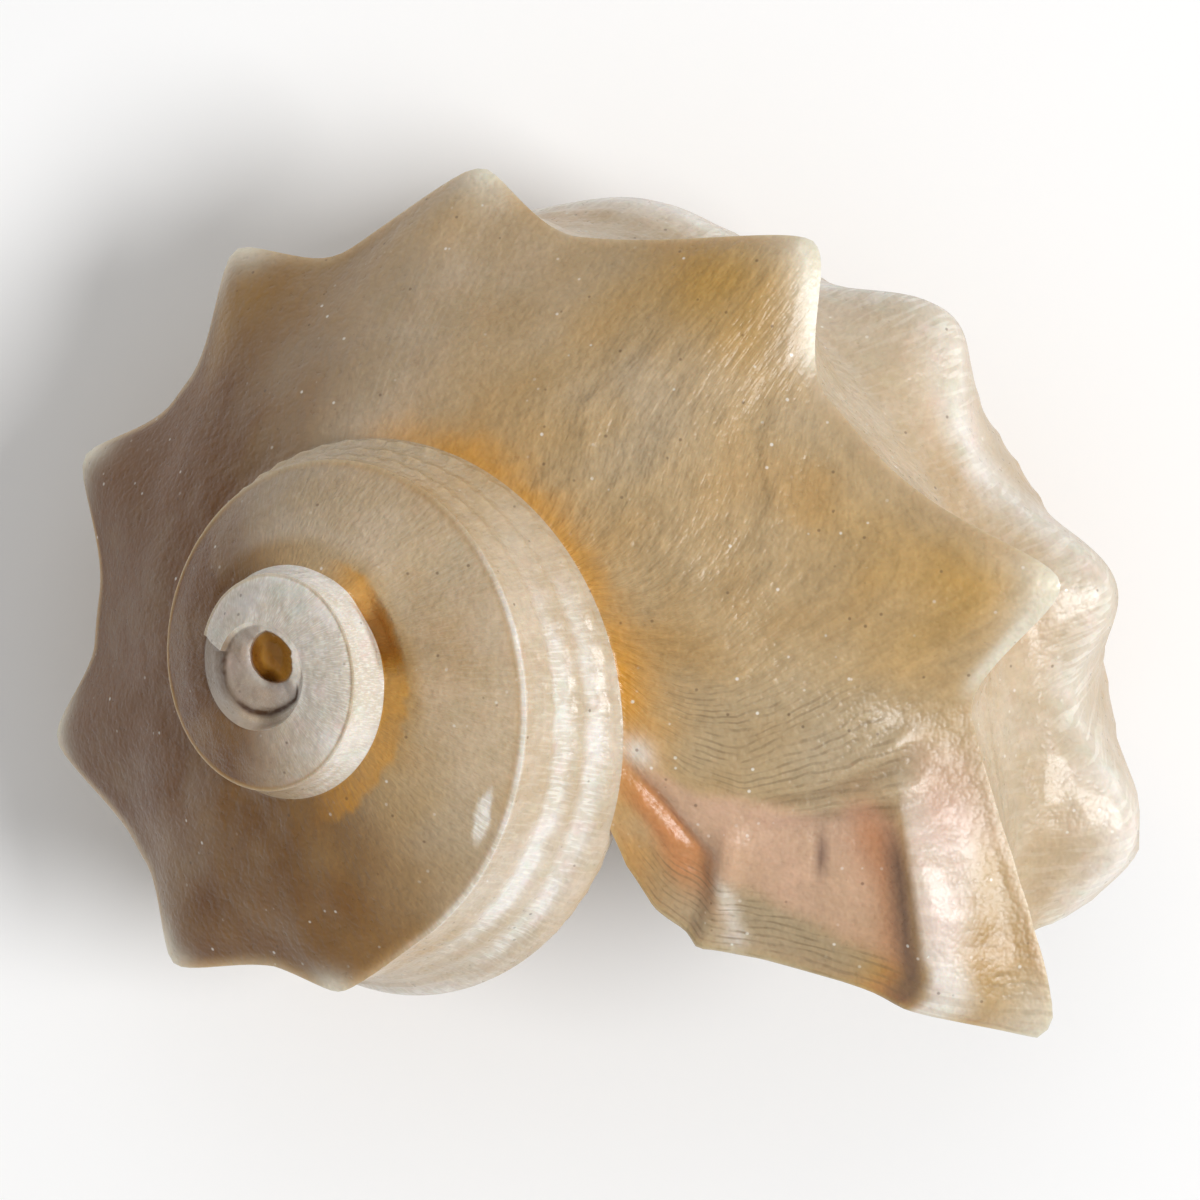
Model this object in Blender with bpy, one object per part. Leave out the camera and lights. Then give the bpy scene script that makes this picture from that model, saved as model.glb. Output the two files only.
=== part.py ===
"""A dolphin shell, one closed body: worn apex, whorls, shoulder spines, base, umbilicus, aperture.

The outside is one surface (n, s). n is growth in turns, 0 close to the lip and negative
towards the apex; s runs round the section: 0 suture, 1 shoulder, 2 periphery, 3 lowest line
of the base, 4 edge of the umbilicus, 5 the umbilical wall's end on the whorl before.
Everything is worked out in millimetres and written in metres.
"""

import math

import bmesh
import bpy
import numpy as np

# Section lines at every quarter turn, from FIRST_STATION to a quarter turn past the lip:
# radius from the shell's axis and height along it, the apex at height 0.
FIRST_STATION = -3.75
STATION_STEP = 0.25
SHOULDER_R = (1.3, 1.5, 1.7, 2.0, 2.8, 3.6, 4.5, 5.3, 6.3, 7.7, 10.2, 12.5, 15.9, 17.5, 21.9, 28.3, 35.0)
SHOULDER_Z = (-1.6, -1.8, -2.1, -2.6, -3.0, -3.1, -3.2, -3.5, -4.5, -5.8, -6.9, -8.0, -10.2, -13.6,
              -18.4, -25.4, -33.0)
PERIPHERY_R = (1.5, 1.8, 2.2, 2.7, 3.3, 4.0, 4.9, 5.8, 6.9, 8.8, 11.2, 14.2, 17.7, 19.5, 22.5, 28.6, 36.0)
PERIPHERY_Z = (-1.8, -2.1, -2.5, -2.9, -3.3, -3.9, -4.6, -5.4, -6.5, -8.2, -10.9, -14.4, -18.5, -22.0,
               -27.0, -33.0, -39.0)
BASE_R = (1.2, 1.4, 1.7, 2.1, 2.5, 3.1, 3.7, 4.5, 5.5, 6.8, 8.2, 8.9, 11.4, 15.0, 18.3, 22.0, 26.0)
BASE_Z = (-4.7, -4.8, -5.0, -5.3, -5.7, -6.4, -7.5, -8.9, -10.8, -13.2, -15.4, -17.4, -21.2, -27.0,
          -34.5, -45.2, -53.0)
MARGIN_R = (0.6, 0.7, 0.9, 1.1, 1.3, 1.6, 2.0, 2.5, 3.1, 3.9, 4.9, 6.1, 7.5, 8.9, 10.4, 12.4, 15.0)
MARGIN_Z = (-4.9, -5.0, -5.2, -5.5, -6.0, -6.8, -8.0, -9.4, -11.4, -13.9, -16.8, -20.2, -23.8, -27.6,
            -34.0, -44.1, -52.0)

TURNS = 2.6            # turns left between the broken first whorl and the lip
LIP_GROWTH = 0.0125    # growth at which the lip meets the suture
LIP_AZIMUTH = 120.0    # degrees, clockwise from +Y seen from above, at growth 0
AXIS_LEAN = 33.5       # degrees that the axis leans towards -X as the shell rests
AXIS_TURN = -4.0       # degrees that the lean is turned towards -Y
NEXT_WHORL_AT = 3.62   # s at which the next whorl's umbilical wall starts

# Spines of the shoulder, from the lip backwards: growth in degrees, how far the tip stands
# out, how far it drops, how many degrees its back and its front take, how hollow the back is.
SPINES = (
    (2.0, 5.2, -1.7, 27.0, 14.0, 2.0),
    (-36.3, 6.0, -1.3, 26.0, 11.0, 3.8),
    (-74.5, 5.0, -1.2, 26.0, 12.0, 2.3),
    (-113.7, 3.0, -1.0, 22.0, 14.0, 1.9),
    (-148.8, 3.6, -0.9, 12.5, 16.0, 1.9),
    (-183.5, 3.7, -0.8, 16.0, 14.5, 2.0),
    (-222.5, 3.3, -0.7, 19.5, 12.0, 1.7),
    (-263.0, 2.8, -0.6, 19.5, 12.5, 1.8),
    (-298.0, 1.0, -0.4, 20.0, 13.0, 1.8),
)
SPINE_FRONT_POWER = 1.7
SPINE_ROUND = 2.0      # degrees

# Low knobs of the periphery: growth in degrees, height, width in degrees
KNOBS = (
    (-13.0, 3.5, 8.0),
    (-36.0, 3.6, 8.0),
    (-66.5, 3.2, 8.5),
    (-103.0, 0.9, 11.0),
    (-141.0, 0.8, 8.0),
    (-176.5, 0.8, 8.0),
    (-213.5, 0.8, 8.0),
    (-253.5, 0.5, 8.0),
)

# Folds of the ramp close to the lip: a sharp ridge towards the last spine, a low pale ridge
# and a groove that runs outwards from the suture. Growth in degrees, sizes across as s.
RIDGE_AT = 0.80
RIDGE_HEIGHT = 1.1
RIDGE_STARTS = (-15.0, -5.0)
RIDGE_INNER_WIDTH = 0.065
RIDGE_OUTER_WIDTH = 0.10
LOW_RIDGE_AT = 0.325
LOW_RIDGE_HEIGHT = 0.45
LOW_RIDGE_WIDTH = 0.035
GROOVE_GROWTH = (-9.0, -3.5, 0.5, 5.5, 9.0)
GROOVE_S = (0.02, 0.14, 0.24, 0.28, 0.29)
GROOVE_DEPTH = 0.4
GROOVE_WIDTH = 0.05

# Knobs round the umbilicus
UMBILICAL_KNOB_EVERY = 25.0   # degrees
UMBILICAL_KNOB_HEIGHT = 0.07  # as a share of the edge's radius
UMBILICAL_KNOB_WIDTH = 0.16   # as s

# The slit worn open in the suture beside the apex
SLIT_AT = -407.0       # growth in degrees
SLIT_LENGTH = 14.0     # degrees
SLIT_DEPTH = 1.5
SLIT_INWARDS = 1.0
SLIT_WIDTH = 0.11      # as s

# How far each part of the section runs ahead of the suture in the growing edge
EDGE_S = (0.0, 0.07, 0.18, 0.33, 0.49, 0.66, 0.85, 1.0, 1.35, 1.7, 2.0, 2.3, 3.0, 4.0, 5.0)
EDGE_AHEAD = (0.0, 4.7, 8.3, 9.4, 6.0, 3.2, 0.7, -0.9, -2.9, -4.3, -7.6, -14.0, -18.5, -13.0, 0.0)

# The pit of the worn apex as the shell rests, in mm from the apex: middle of the hole, level
# and slope of the pit's floor and of the curl's top, and the curl by angle round the hole.
PIT_X = 2.2
PIT_Y = 0.5
PIT_FLOOR = -2.9
PIT_SLOPE = 0.62
HOLE_DEPTH = 0.6
CURL_LEVEL = -2.0
CURL_SLOPE = 0.33
CURL_FROM = 95.0
CURL_TO = 318.0
CURL_ANGLE = (0, 90, 130, 180, 225, 250, 270, 300, 330, 360)
CURL_RADIUS = (1.2, 1.65, 1.75, 1.85, 2.1, 2.1, 1.8, 1.45, 1.3, 1.2)
CURL_HALF_WIDTH = (0.1, 0.2, 0.2, 0.25, 0.4, 0.5, 0.5, 0.4, 0.2, 0.1)

WALL = 1.3             # thickness of the whorl round the aperture
LIP_WALL = 0.45        # thickness at the lip itself
LIP_TIP_SOLID = 5.0    # how many times thicker the lip is at the tip of the last spine
LIP_TIP_LEVEL = -1.5   # which way that thickness runs: height over the shoulder's
CAVITY_TURN = 0.40     # how far in the hollow goes, turns
CAVITY_RINGS = 9
CLOSE_SCALE = (0.8, 0.4)

RINGS = 60             # rings in a turn
RAMP_S = (0.0, 0.10, 0.21, 0.28, 0.325, 0.39, 0.55, 0.69, 0.76, 0.81, 0.90, 1.0)
WALL_S = (1.0, 1.16, 1.36, 1.56, 1.78, 2.0)
BASE_STEPS = 7
UMBILICUS_S = (NEXT_WHORL_AT, 3.84, 4.03, 4.35, 4.7, 5.0)

REST_CUT = 0.35        # how much of the lowest points is worn flat


def along(values, n):
    """Smooth curve through the quarter-turn stations."""
    v = np.asarray(values, float)
    v = np.concatenate([[2 * v[0] - v[1]], v, [2 * v[-1] - v[-2]]])
    x = (np.asarray(n, float) - FIRST_STATION) / STATION_STEP
    i = np.clip(np.floor(x).astype(int), 0, len(v) - 4)
    t = x - i
    a, b, c, d = v[i], v[i + 1], v[i + 2], v[i + 3]
    return 0.5 * (2 * b + (c - a) * t + (2 * a - 5 * b + 4 * c - d) * t**2
                  + (3 * b - a - 3 * c + d) * t**3)


def ease(a, b, x):
    t = np.clip((x - a) / (b - a), 0.0, 1.0)
    return t * t * (3 - 2 * t)


def hump(x, width):
    return np.exp(-((x / width) ** 2))


def spine_profile(x, back, front, back_power):
    """Height of a spine x degrees ahead of its tip, 1 at the tip."""
    away = np.sqrt(x * x + SPINE_ROUND**2) - 0.9 * SPINE_ROUND
    behind = np.clip(1 - away / back, 0, 1) ** back_power
    ahead = np.clip(1 - away / front, 0, 1) ** SPINE_FRONT_POWER
    return np.where(x < 0, behind, ahead)


def relief(n, s):
    """What the spines and knobs add to radius and height."""
    degrees = 360 * n
    on_ramp = ease(0.30, 1.0, s) ** 1.5
    on_wall = np.clip(1 - (s - 1) / 0.55, 0, 1) ** 1.6
    across = np.where(s < 1, on_ramp, on_wall)
    dr = np.zeros_like(degrees)
    dz = np.zeros_like(degrees)
    for at, reach, drop, back, front, power in SPINES:
        g = spine_profile(degrees - at, back, front, power) * across
        dr = dr + reach * g
        dz = dz + drop * g
    row = hump(s - 2.0, 0.30)
    for at, height, width in KNOBS:
        g = height * hump(degrees - at, width) * row
        dr = dr + g
        dz = dz - 0.3 * g
    fold_r, fold_z = lip_folds(degrees, s)
    edge = hump(s - 4.0, UMBILICAL_KNOB_WIDTH) * UMBILICAL_KNOB_HEIGHT * along(MARGIN_R, n)
    edge = edge * np.cos(math.pi * degrees / UMBILICAL_KNOB_EVERY) ** 2
    opened = hump(degrees - SLIT_AT, SLIT_LENGTH) * hump(s, SLIT_WIDTH)
    opened = opened + hump(degrees + 360 - SLIT_AT, SLIT_LENGTH) * hump(s - 2, SLIT_WIDTH)
    return (dr + fold_r - 0.5 * edge - SLIT_INWARDS * opened,
            dz + fold_z - edge - SLIT_DEPTH * opened)


def lip_folds(degrees, s):
    """The ridges and the groove of the last part of the ramp."""
    across = np.where(s < RIDGE_AT, RIDGE_INNER_WIDTH, RIDGE_OUTER_WIDTH)
    up = RIDGE_HEIGHT * hump(s - RIDGE_AT, across) * ease(*RIDGE_STARTS, degrees)
    up = up + LOW_RIDGE_HEIGHT * hump(s - LOW_RIDGE_AT, LOW_RIDGE_WIDTH) * ease(-8, -1, degrees)
    groove = np.interp(degrees, GROOVE_GROWTH, GROOVE_S)
    up = up - GROOVE_DEPTH * hump(s - groove, GROOVE_WIDTH) * ease(-11, -5, degrees)
    up = np.where(s < 1.5, up, 0.0)
    return 0.35 * up, up


def section(n, s, start, end, relief_share=1.0):
    """Radius and height of the outside; start and end are the section's ends on the whorl before."""
    n, s = np.broadcast_arrays(np.asarray(n, float), np.asarray(s, float))
    sr, sz = along(SHOULDER_R, n), along(SHOULDER_Z, n)
    pr, pz = along(PERIPHERY_R, n), along(PERIPHERY_Z, n)
    br, bz = along(BASE_R, n), along(BASE_Z, n)
    mr, mz = along(MARGIN_R, n), along(MARGIN_Z, n)
    ur, uz = start
    vr, vz = end
    part = np.clip(np.floor(s), 0, 4).astype(int)
    f = s - part
    arch = np.sin(math.pi * np.clip(f, 0, 1))
    ramp = 0.045 * arch
    wall = -0.05 * arch
    quarter = f * math.pi / 2
    hollow = 0.10 * np.hypot(vr - mr, vz - mz) * arch
    radii = (
        ur + (sr - ur) * f - (sz - uz) * ramp,
        sr + (pr - sr) * f - (pz - sz) * wall,
        br + (pr - br) * np.cos(quarter),
        br + (mr - br) * f,
        mr + (vr - mr) * np.abs(f) ** 0.8 + hollow,
    )
    heights = (
        uz + (sz - uz) * f + (sr - ur) * ramp,
        sz + (pz - sz) * f + (pr - sr) * wall,
        pz + (bz - pz) * np.sin(quarter),
        bz + (mz - bz) * f**2,
        mz + (vz - mz) * f,
    )
    dr, dz = relief(n, s)
    return (np.choose(part, radii) + dr * relief_share, np.choose(part, heights) + dz * relief_share)


def suture(n, relief_share=1.0):
    """The line on whorl n on which the next whorl starts."""
    n = np.asarray(n, float)
    dr, dz = relief(n, np.full_like(n, 2.0))
    return along(PERIPHERY_R, n) + dr * relief_share, along(PERIPHERY_Z, n) + dz * relief_share


def umbilical_suture(n):
    f = NEXT_WHORL_AT - 3
    br, bz = along(BASE_R, n), along(BASE_Z, n)
    return (br + (along(MARGIN_R, n) - br) * f, bz + (along(MARGIN_Z, n) - bz) * f**2)


def place(r, z, azimuth):
    """From the shell's own axis to the way it rests: X right, Y up, Z up from the table."""
    lean = math.radians(AXIS_LEAN)
    turn = math.radians(AXIS_TURN)
    x = r * np.sin(azimuth)
    y = r * np.cos(azimuth)
    dx, dy = -math.cos(turn), math.sin(turn)
    along_lean = x * dx + y * dy
    across = y * dx - x * dy
    flat = along_lean * math.cos(lean) + z * math.sin(lean)
    up = z * math.cos(lean) - along_lean * math.sin(lean)
    return np.stack([flat * dx - across * dy, flat * dy + across * dx, up], -1)


def azimuth_of(n):
    return math.radians(LIP_AZIMUTH) + 2 * math.pi * n


def ahead(s):
    return np.interp(s, EDGE_S, EDGE_AHEAD) / 360


def outside(n, s):
    n, s = np.broadcast_arrays(np.asarray(n, float), np.asarray(s, float))
    n = n + ahead(s) * ease(-0.22, -0.02, n)
    r, z = section(n, s, suture(n - 1), umbilical_suture(n - 1))
    return place(r, z, azimuth_of(n))


def ring_growth(last):
    """Growth of rings 0 to last, the last at the lip, with a ring on each spine's tip."""
    first = LIP_GROWTH - 1
    index, growth = [0], [first]
    for at in sorted(spine[0] / 360 for spine in SPINES):
        ring = int(round((at - first) * RINGS))
        if first + 0.01 < at < LIP_GROWTH - 0.004 and ring > index[-1]:
            index.append(ring)
            growth.append(at)
    turn = np.interp(np.arange(RINGS + 1), index + [RINGS], growth + [LIP_GROWTH])
    ring = np.arange(last + 1) - (last - RINGS)
    whole = np.floor(ring / RINGS).astype(int)
    return turn[ring - whole * RINGS] + whole


class Body:
    """Points and faces of the one closed surface."""

    def __init__(self):
        self.points = []
        self.faces = []

    def add(self, point):
        self.points.append(tuple(point))
        return len(self.points) - 1

    def strip(self, grid, first, last):
        for k in range(first, last):
            for j in range(grid.shape[1] - 1):
                self.faces.append((grid[k, j], grid[k, j + 1], grid[k + 1, j + 1], grid[k + 1, j]))

    def band(self, outer, inner):
        for i in range(len(outer)):
            j = (i + 1) % len(outer)
            self.faces.append((outer[i], outer[j], inner[j], inner[i]))

    def close(self, loop):
        middle = self.add(np.mean([self.points[i] for i in loop], axis=0))
        for i in range(len(loop)):
            self.faces.append((loop[i], loop[(i + 1) % len(loop)], middle))


def tube_middle(n):
    """Middle of the hollow in the section at growth n."""
    suture_z = along(PERIPHERY_Z, n - 1)
    top = 0.5 * (suture_z + along(SHOULDER_Z, n))
    r = 0.5 * (along(MARGIN_R, n) + along(PERIPHERY_R, n)) + 0.3
    return r, 0.5 * (top + along(BASE_Z, n)) + 0.3


def tube_radius(n, angles):
    """How far the whorl's outside is from the middle of the hollow, by angle."""
    s_out = np.concatenate([np.linspace(0, 1, 14)[:-1], np.linspace(1, 5, 50)])
    s_in = np.linspace(NEXT_WHORL_AT, 2, 16)[1:-1]
    plain = suture(n - 1, 0.0), umbilical_suture(n - 1)
    before = suture(n - 2, 0.0), umbilical_suture(n - 2)
    r1, z1 = section(n, s_out, plain[0], plain[1], 0.0)
    r2, z2 = section(n - 1, s_in, before[0], before[1], 0.0)
    r = np.concatenate([r1, r2])
    z = np.concatenate([z1, z2])
    cr, cz = tube_middle(n)
    a = np.arctan2(z - cz, r - cr)
    order = np.argsort(a)
    return np.interp(angles, a[order], np.hypot(z - cz, r - cr)[order], period=2 * math.pi)


def cavity(body, loop, s_out, s_in):
    """The hollow, from the aperture's edge inwards to a blind end."""
    s = np.concatenate([s_out, s_in])
    inner = np.concatenate([np.zeros(len(s_out), bool), np.ones(len(s_in), bool)])
    at = np.where(inner, LIP_GROWTH - 1.004, LIP_GROWTH - 0.004)
    sc = np.clip(s, 0.012, 4.99)
    step = 1e-4
    round_section = outside(at, sc + 1e-3) - outside(at, sc - 1e-3)
    forward = outside(at + step, sc) - outside(at - step, sc)
    normal = np.cross(round_section, forward)
    normal /= np.linalg.norm(normal, axis=-1, keepdims=True)
    level = along(SHOULDER_Z, LIP_GROWTH) + LIP_TIP_LEVEL
    behind = place(tube_middle(LIP_GROWTH)[0], level, azimuth_of(LIP_GROWTH))
    inwards = behind - outside(at, sc)
    inwards /= np.linalg.norm(inwards, axis=-1, keepdims=True)
    tip = np.where(inner, 0.0, hump(s - 1, 0.2))[:, None]
    normal = normal * (1 - tip) + inwards * tip * LIP_TIP_SOLID
    first = outside(at, sc) + normal * np.where(inner, -0.25, LIP_WALL)[:, None]
    previous = loop
    grid = np.linspace(-math.pi, math.pi, 72, endpoint=False)
    cr, cz = tube_middle(LIP_GROWTH)
    plain = np.where(inner, LIP_GROWTH - 1, LIP_GROWTH)
    r, z = section(plain, s, suture(plain - 1, 0.0), umbilical_suture(plain - 1), 0.0)
    start = np.unwrap(np.arctan2(z - cz, r - cr))
    even = start[0] + np.sign(start[-1] - start[0]) * 2 * math.pi * np.arange(len(s)) / len(s)
    for ring in range(1, CAVITY_RINGS + len(CLOSE_SCALE) + 1):
        if ring == 1:
            points = first
        else:
            t = min(1.0, (ring - 1) / (CAVITY_RINGS - 1))
            depth = 0.012 + (CAVITY_TURN - 0.012) * t
            scale = 1.0
            if ring > CAVITY_RINGS:
                scale = CLOSE_SCALE[ring - CAVITY_RINGS - 1]
                depth += 0.012 * (ring - CAVITY_RINGS)
            angle = start * (1 - 0.6 * t) + even * 0.6 * t
            n = LIP_GROWTH - depth + ahead(s) * (1 - t) * ease(0, 0.3, 1 - t) * ~inner
            wall = WALL * (0.75 if ring == 2 else 1.0) * 1.12
            points = []
            for i, x in enumerate(n):
                radius = tube_radius(x, grid) - wall
                smooth = sum(np.roll(radius, k) for k in range(-5, 6)) / 11
                rho = scale * np.interp(angle[i], grid, np.minimum(radius, smooth), period=2 * math.pi)
                mr, mz = tube_middle(x)
                points.append(place(mr + rho * math.cos(angle[i]), mz + rho * math.sin(angle[i]),
                                    azimuth_of(x)))
        ids = [body.add(p) for p in points]
        body.band(previous, ids)
        previous = ids
    body.close(previous)


def worn_apex(body, loop):
    """The pit left where the first whorls broke off, with the curl of shell that stands in it."""
    edge = np.array([body.points[i] for i in loop])
    away = edge[:, :2] - np.array([PIT_X, PIT_Y])
    reach = np.hypot(away[:, 0], away[:, 1])
    turned = np.unwrap(np.arctan2(away[:, 1], away[:, 0]))
    whole = math.radians(360 - 4) * np.sign(turned[-1] - turned[0])
    turned = turned[0] + (turned - turned[0]) * whole / (turned[-1] - turned[0])
    angle = np.degrees(turned) % 360
    curl = ease(CURL_FROM, CURL_FROM + 15, angle) * (1 - ease(CURL_TO - 15, CURL_TO, angle))
    half = np.interp(angle, CURL_ANGLE, CURL_HALF_WIDTH)
    crest = np.interp(angle, CURL_ANGLE, CURL_RADIUS)
    rings = (
        (reach * 0.93, 0, 0.0),
        (crest + half + 0.25, 1, 0.0),
        (crest + half * 0.8, 1, 0.75),
        (crest, 1, 1.0),
        (crest - half, 1, 0.6),
        (crest - half - 0.12, 2, 0.0),
        (0.4 * (crest - half), 3, 0.0),
    )
    previous = loop
    limit = reach / 0.9
    for radius, level, share in rings:
        radius = np.minimum(radius, limit * 0.9)
        limit = radius
        x = PIT_X + radius * np.cos(turned)
        y = PIT_Y + radius * np.sin(turned)
        floor = PIT_FLOOR + PIT_SLOPE * (x - PIT_X)
        top = CURL_LEVEL + CURL_SLOPE * (x - PIT_X)
        z = (edge[:, 2] - 0.35, floor + (top - floor) * share * curl, floor - HOLE_DEPTH,
             floor - HOLE_DEPTH - 0.1)[level]
        ids = [body.add(point) for point in zip(x, y, z)]
        body.band(previous, ids)
        previous = ids
    body.close(previous)


def umbilicus_end(body, loop):
    edge = np.array([body.points[i] for i in loop])
    middle = edge.mean(axis=0)
    ids = [body.add(p) for p in middle + (edge - middle) * 0.5 + np.array([0.0, 0.0, 0.1])]
    body.band(loop, ids)
    body.close(ids)


def shell():
    last = int(round(TURNS * RINGS))
    growth = ring_growth(last)
    s_top = np.array(RAMP_S + WALL_S[1:])
    s_base = np.linspace(2, NEXT_WHORL_AT, BASE_STEPS + 2)[1:-1]
    s_umbilicus = np.array(UMBILICUS_S)
    body = Body()
    points = [outside(growth[:, None], s[None, :]) for s in (s_top, s_base, s_umbilicus)]
    top = np.zeros((last + 1, len(s_top)), int)
    base = np.zeros((last + 1, len(s_base)), int)
    umbilicus = np.zeros((last + 1, len(s_umbilicus)), int)
    turn_back = last - RINGS
    for k in range(last + 1):
        for j in range(len(s_top)):
            shared = j == 0 and k >= RINGS
            top[k, j] = top[k - RINGS, -1] if shared else body.add(points[0][k, j])
        if k >= turn_back:
            for j in range(len(s_base)):
                base[k, j] = body.add(points[1][k, j])
        for j in range(len(s_umbilicus)):
            shared = j == len(s_umbilicus) - 1 and k >= RINGS
            umbilicus[k, j] = umbilicus[k - RINGS, 0] if shared else body.add(points[2][k, j])
    body.strip(top, 0, last)
    body.strip(umbilicus, 0, last)
    body.strip(np.concatenate([top[:, -1:], base, umbilicus[:, :1]], axis=1), turn_back, last)
    lip = list(top[last]) + list(base[last]) + list(umbilicus[last]) + list(base[turn_back][::-1])
    cavity(body, lip, np.concatenate([s_top, s_base, s_umbilicus]), s_base[::-1])
    body.close(list(top[0]))
    worn_apex(body, [top[k, 0] for k in range(RINGS + 1)])
    umbilicus_end(body, [umbilicus[k, -1] for k in range(RINGS + 1)] + list(umbilicus[0, 1:-1]))
    return body


def rest_on_flats(points):
    """Wear the lowest points flat and bring them to height 0, the middle of the box to the origin."""
    floor = points[:, 2].min() + REST_CUT
    points[:, 2] = np.maximum(points[:, 2], floor) - floor
    for axis in (0, 1):
        points[:, axis] -= 0.5 * (points[:, axis].min() + points[:, axis].max())
    return points


def make_object(name, points, faces, colour, roughness):
    mesh = bpy.data.meshes.new(name)
    mesh.from_pydata([tuple(p) for p in points], [], [tuple(int(i) for i in f) for f in faces])
    edit = bmesh.new()
    edit.from_mesh(mesh)
    bmesh.ops.triangulate(edit, faces=edit.faces)
    bmesh.ops.recalc_face_normals(edit, faces=edit.faces)
    if edit.calc_volume(signed=True) < 0:
        bmesh.ops.reverse_faces(edit, faces=edit.faces)
    edit.to_mesh(mesh)
    edit.free()
    material = bpy.data.materials.new(name)
    material.use_nodes = True
    shader = material.node_tree.nodes["Principled BSDF"]
    shader.inputs["Base Color"].default_value = colour
    shader.inputs["Roughness"].default_value = roughness
    shader.inputs["Metallic"].default_value = 0.0
    mesh.materials.append(material)
    made = bpy.data.objects.new(name, mesh)
    bpy.context.scene.collection.objects.link(made)
    return made


for old in list(bpy.data.objects):
    bpy.data.objects.remove(old, do_unlink=True)

body = shell()
make_object("shell", rest_on_flats(np.array(body.points)) * 0.001, body.faces, (0.74, 0.62, 0.44, 1.0), 0.3)
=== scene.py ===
"""Dolphin shell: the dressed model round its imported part, with floor, light and a camera above.

The whole outside is one surface that follows the growth of the shell. Growth is counted in turns,
0 close to the lip and negative towards the apex. The section is counted by s, from 0 at the suture,
1 at the shoulder, 2 at the periphery, 3 at the base's lowest line and 4 at the umbilicus' edge to 5
inside it.
"""

import logging
import math
from dataclasses import dataclass
from enum import Enum

import bpy
import numpy as np
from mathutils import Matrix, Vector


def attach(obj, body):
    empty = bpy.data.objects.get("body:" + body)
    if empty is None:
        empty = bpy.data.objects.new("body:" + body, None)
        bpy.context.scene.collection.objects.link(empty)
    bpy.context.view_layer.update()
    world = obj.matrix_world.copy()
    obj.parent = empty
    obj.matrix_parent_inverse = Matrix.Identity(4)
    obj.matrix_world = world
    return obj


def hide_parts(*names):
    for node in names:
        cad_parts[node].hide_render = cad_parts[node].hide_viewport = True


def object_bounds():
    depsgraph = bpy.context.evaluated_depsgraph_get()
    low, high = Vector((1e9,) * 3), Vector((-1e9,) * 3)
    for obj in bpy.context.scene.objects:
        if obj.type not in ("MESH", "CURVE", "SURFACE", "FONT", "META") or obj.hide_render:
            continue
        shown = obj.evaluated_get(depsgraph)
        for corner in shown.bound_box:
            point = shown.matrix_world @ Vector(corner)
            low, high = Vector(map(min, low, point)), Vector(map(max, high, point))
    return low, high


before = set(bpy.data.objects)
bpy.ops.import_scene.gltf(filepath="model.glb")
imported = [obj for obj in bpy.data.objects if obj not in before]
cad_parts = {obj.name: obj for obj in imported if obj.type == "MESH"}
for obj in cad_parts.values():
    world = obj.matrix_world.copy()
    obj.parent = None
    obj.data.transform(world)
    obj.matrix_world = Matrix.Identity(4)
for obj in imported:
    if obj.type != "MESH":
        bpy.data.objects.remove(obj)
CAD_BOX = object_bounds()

Numbers = tuple[float, ...]
Path = tuple[tuple[float, float], ...]
Colour = tuple[float, float, float, float]
MM = 0.001
TURN = 360.0
LOG = logging.getLogger("dolphin_shell")


def ease(start: float | np.ndarray, end: float | np.ndarray, x: np.ndarray) -> np.ndarray:
    """Smooth step.

    Args:
        start: where it is 0.
        end: where it is 1.
        x: where it is wanted.

    Returns:
        Values from 0 to 1.
    """
    t = np.clip((x - start) / (end - start), 0.0, 1.0)
    return t * t * (3 - 2 * t)


def hump(x: np.ndarray, width: float | np.ndarray) -> np.ndarray:
    """Bell curve of height 1 round x = 0, which has fallen to about a third at width."""
    return np.exp(-((x / width) ** 2))


def window(x: np.ndarray, low: float | np.ndarray, high: float | np.ndarray, soft: float) -> np.ndarray:
    """1 between low and high and 0 outside, with edges that reach soft to both sides."""
    return ease(low - soft, low + soft, x) * (1 - ease(high - soft, high + soft, x))


@dataclass(frozen=True)
class Rise:
    """A soft step along one coordinate."""

    start: float
    end: float

    def of(self, x: np.ndarray) -> np.ndarray:
        """0 before the start, 1 after the end."""
        return ease(self.start, self.end, x)


@dataclass(frozen=True)
class Span:
    """A stretch along one coordinate with soft ends."""

    low: float
    high: float
    soft: float

    def of(self, x: np.ndarray) -> np.ndarray:
        """1 inside, 0 outside."""
        return window(x, self.low, self.high, self.soft)


@dataclass(frozen=True)
class Spot:
    """A soft spot along one coordinate."""

    at: float
    width: float

    def of(self, x: np.ndarray) -> np.ndarray:
        """1 at its middle, about a third at its width."""
        return hump(x - self.at, self.width)


def lattice_noise(x: np.ndarray, y: np.ndarray, seed: float) -> np.ndarray:
    """Smooth value noise.

    Args:
        x: first coordinate, one cell per unit.
        y: second coordinate.
        seed: picks the pattern.

    Returns:
        Values from -1 to 1, the same on each run.
    """
    x, y = np.broadcast_arrays(x, y)
    i, j = np.floor(x), np.floor(y)
    u, v = x - i, y - j
    u, v = u * u * (3 - 2 * u), v * v * (3 - 2 * v)

    def corner(a: np.ndarray, b: np.ndarray) -> np.ndarray:
        """Fixed random value of one lattice point."""
        h = np.sin(a * 127.1 + b * 311.7 + seed * 74.7) * 43758.5453
        return h - np.floor(h)

    low = corner(i, j) * (1 - u) + corner(i + 1, j) * u
    high = corner(i, j + 1) * (1 - u) + corner(i + 1, j + 1) * u
    return 2 * (low * (1 - v) + high * v) - 1


def cloudy(x: np.ndarray, y: np.ndarray, seed: float, octaves: int = 3) -> np.ndarray:
    """Value noise with finer and weaker copies of itself on top.

    Args:
        x: first coordinate, one cell per unit.
        y: second coordinate.
        seed: picks the pattern.
        octaves: how many copies there are.

    Returns:
        Values of about -1 to 1.
    """
    total, size, weight = 0.0, 1.0, 0.0
    for k in range(octaves):
        total = total + size * lattice_noise(x * 2**k, y * 2**k, seed + 11 * k)
        weight += size
        size *= 0.5
    return total / weight


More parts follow.
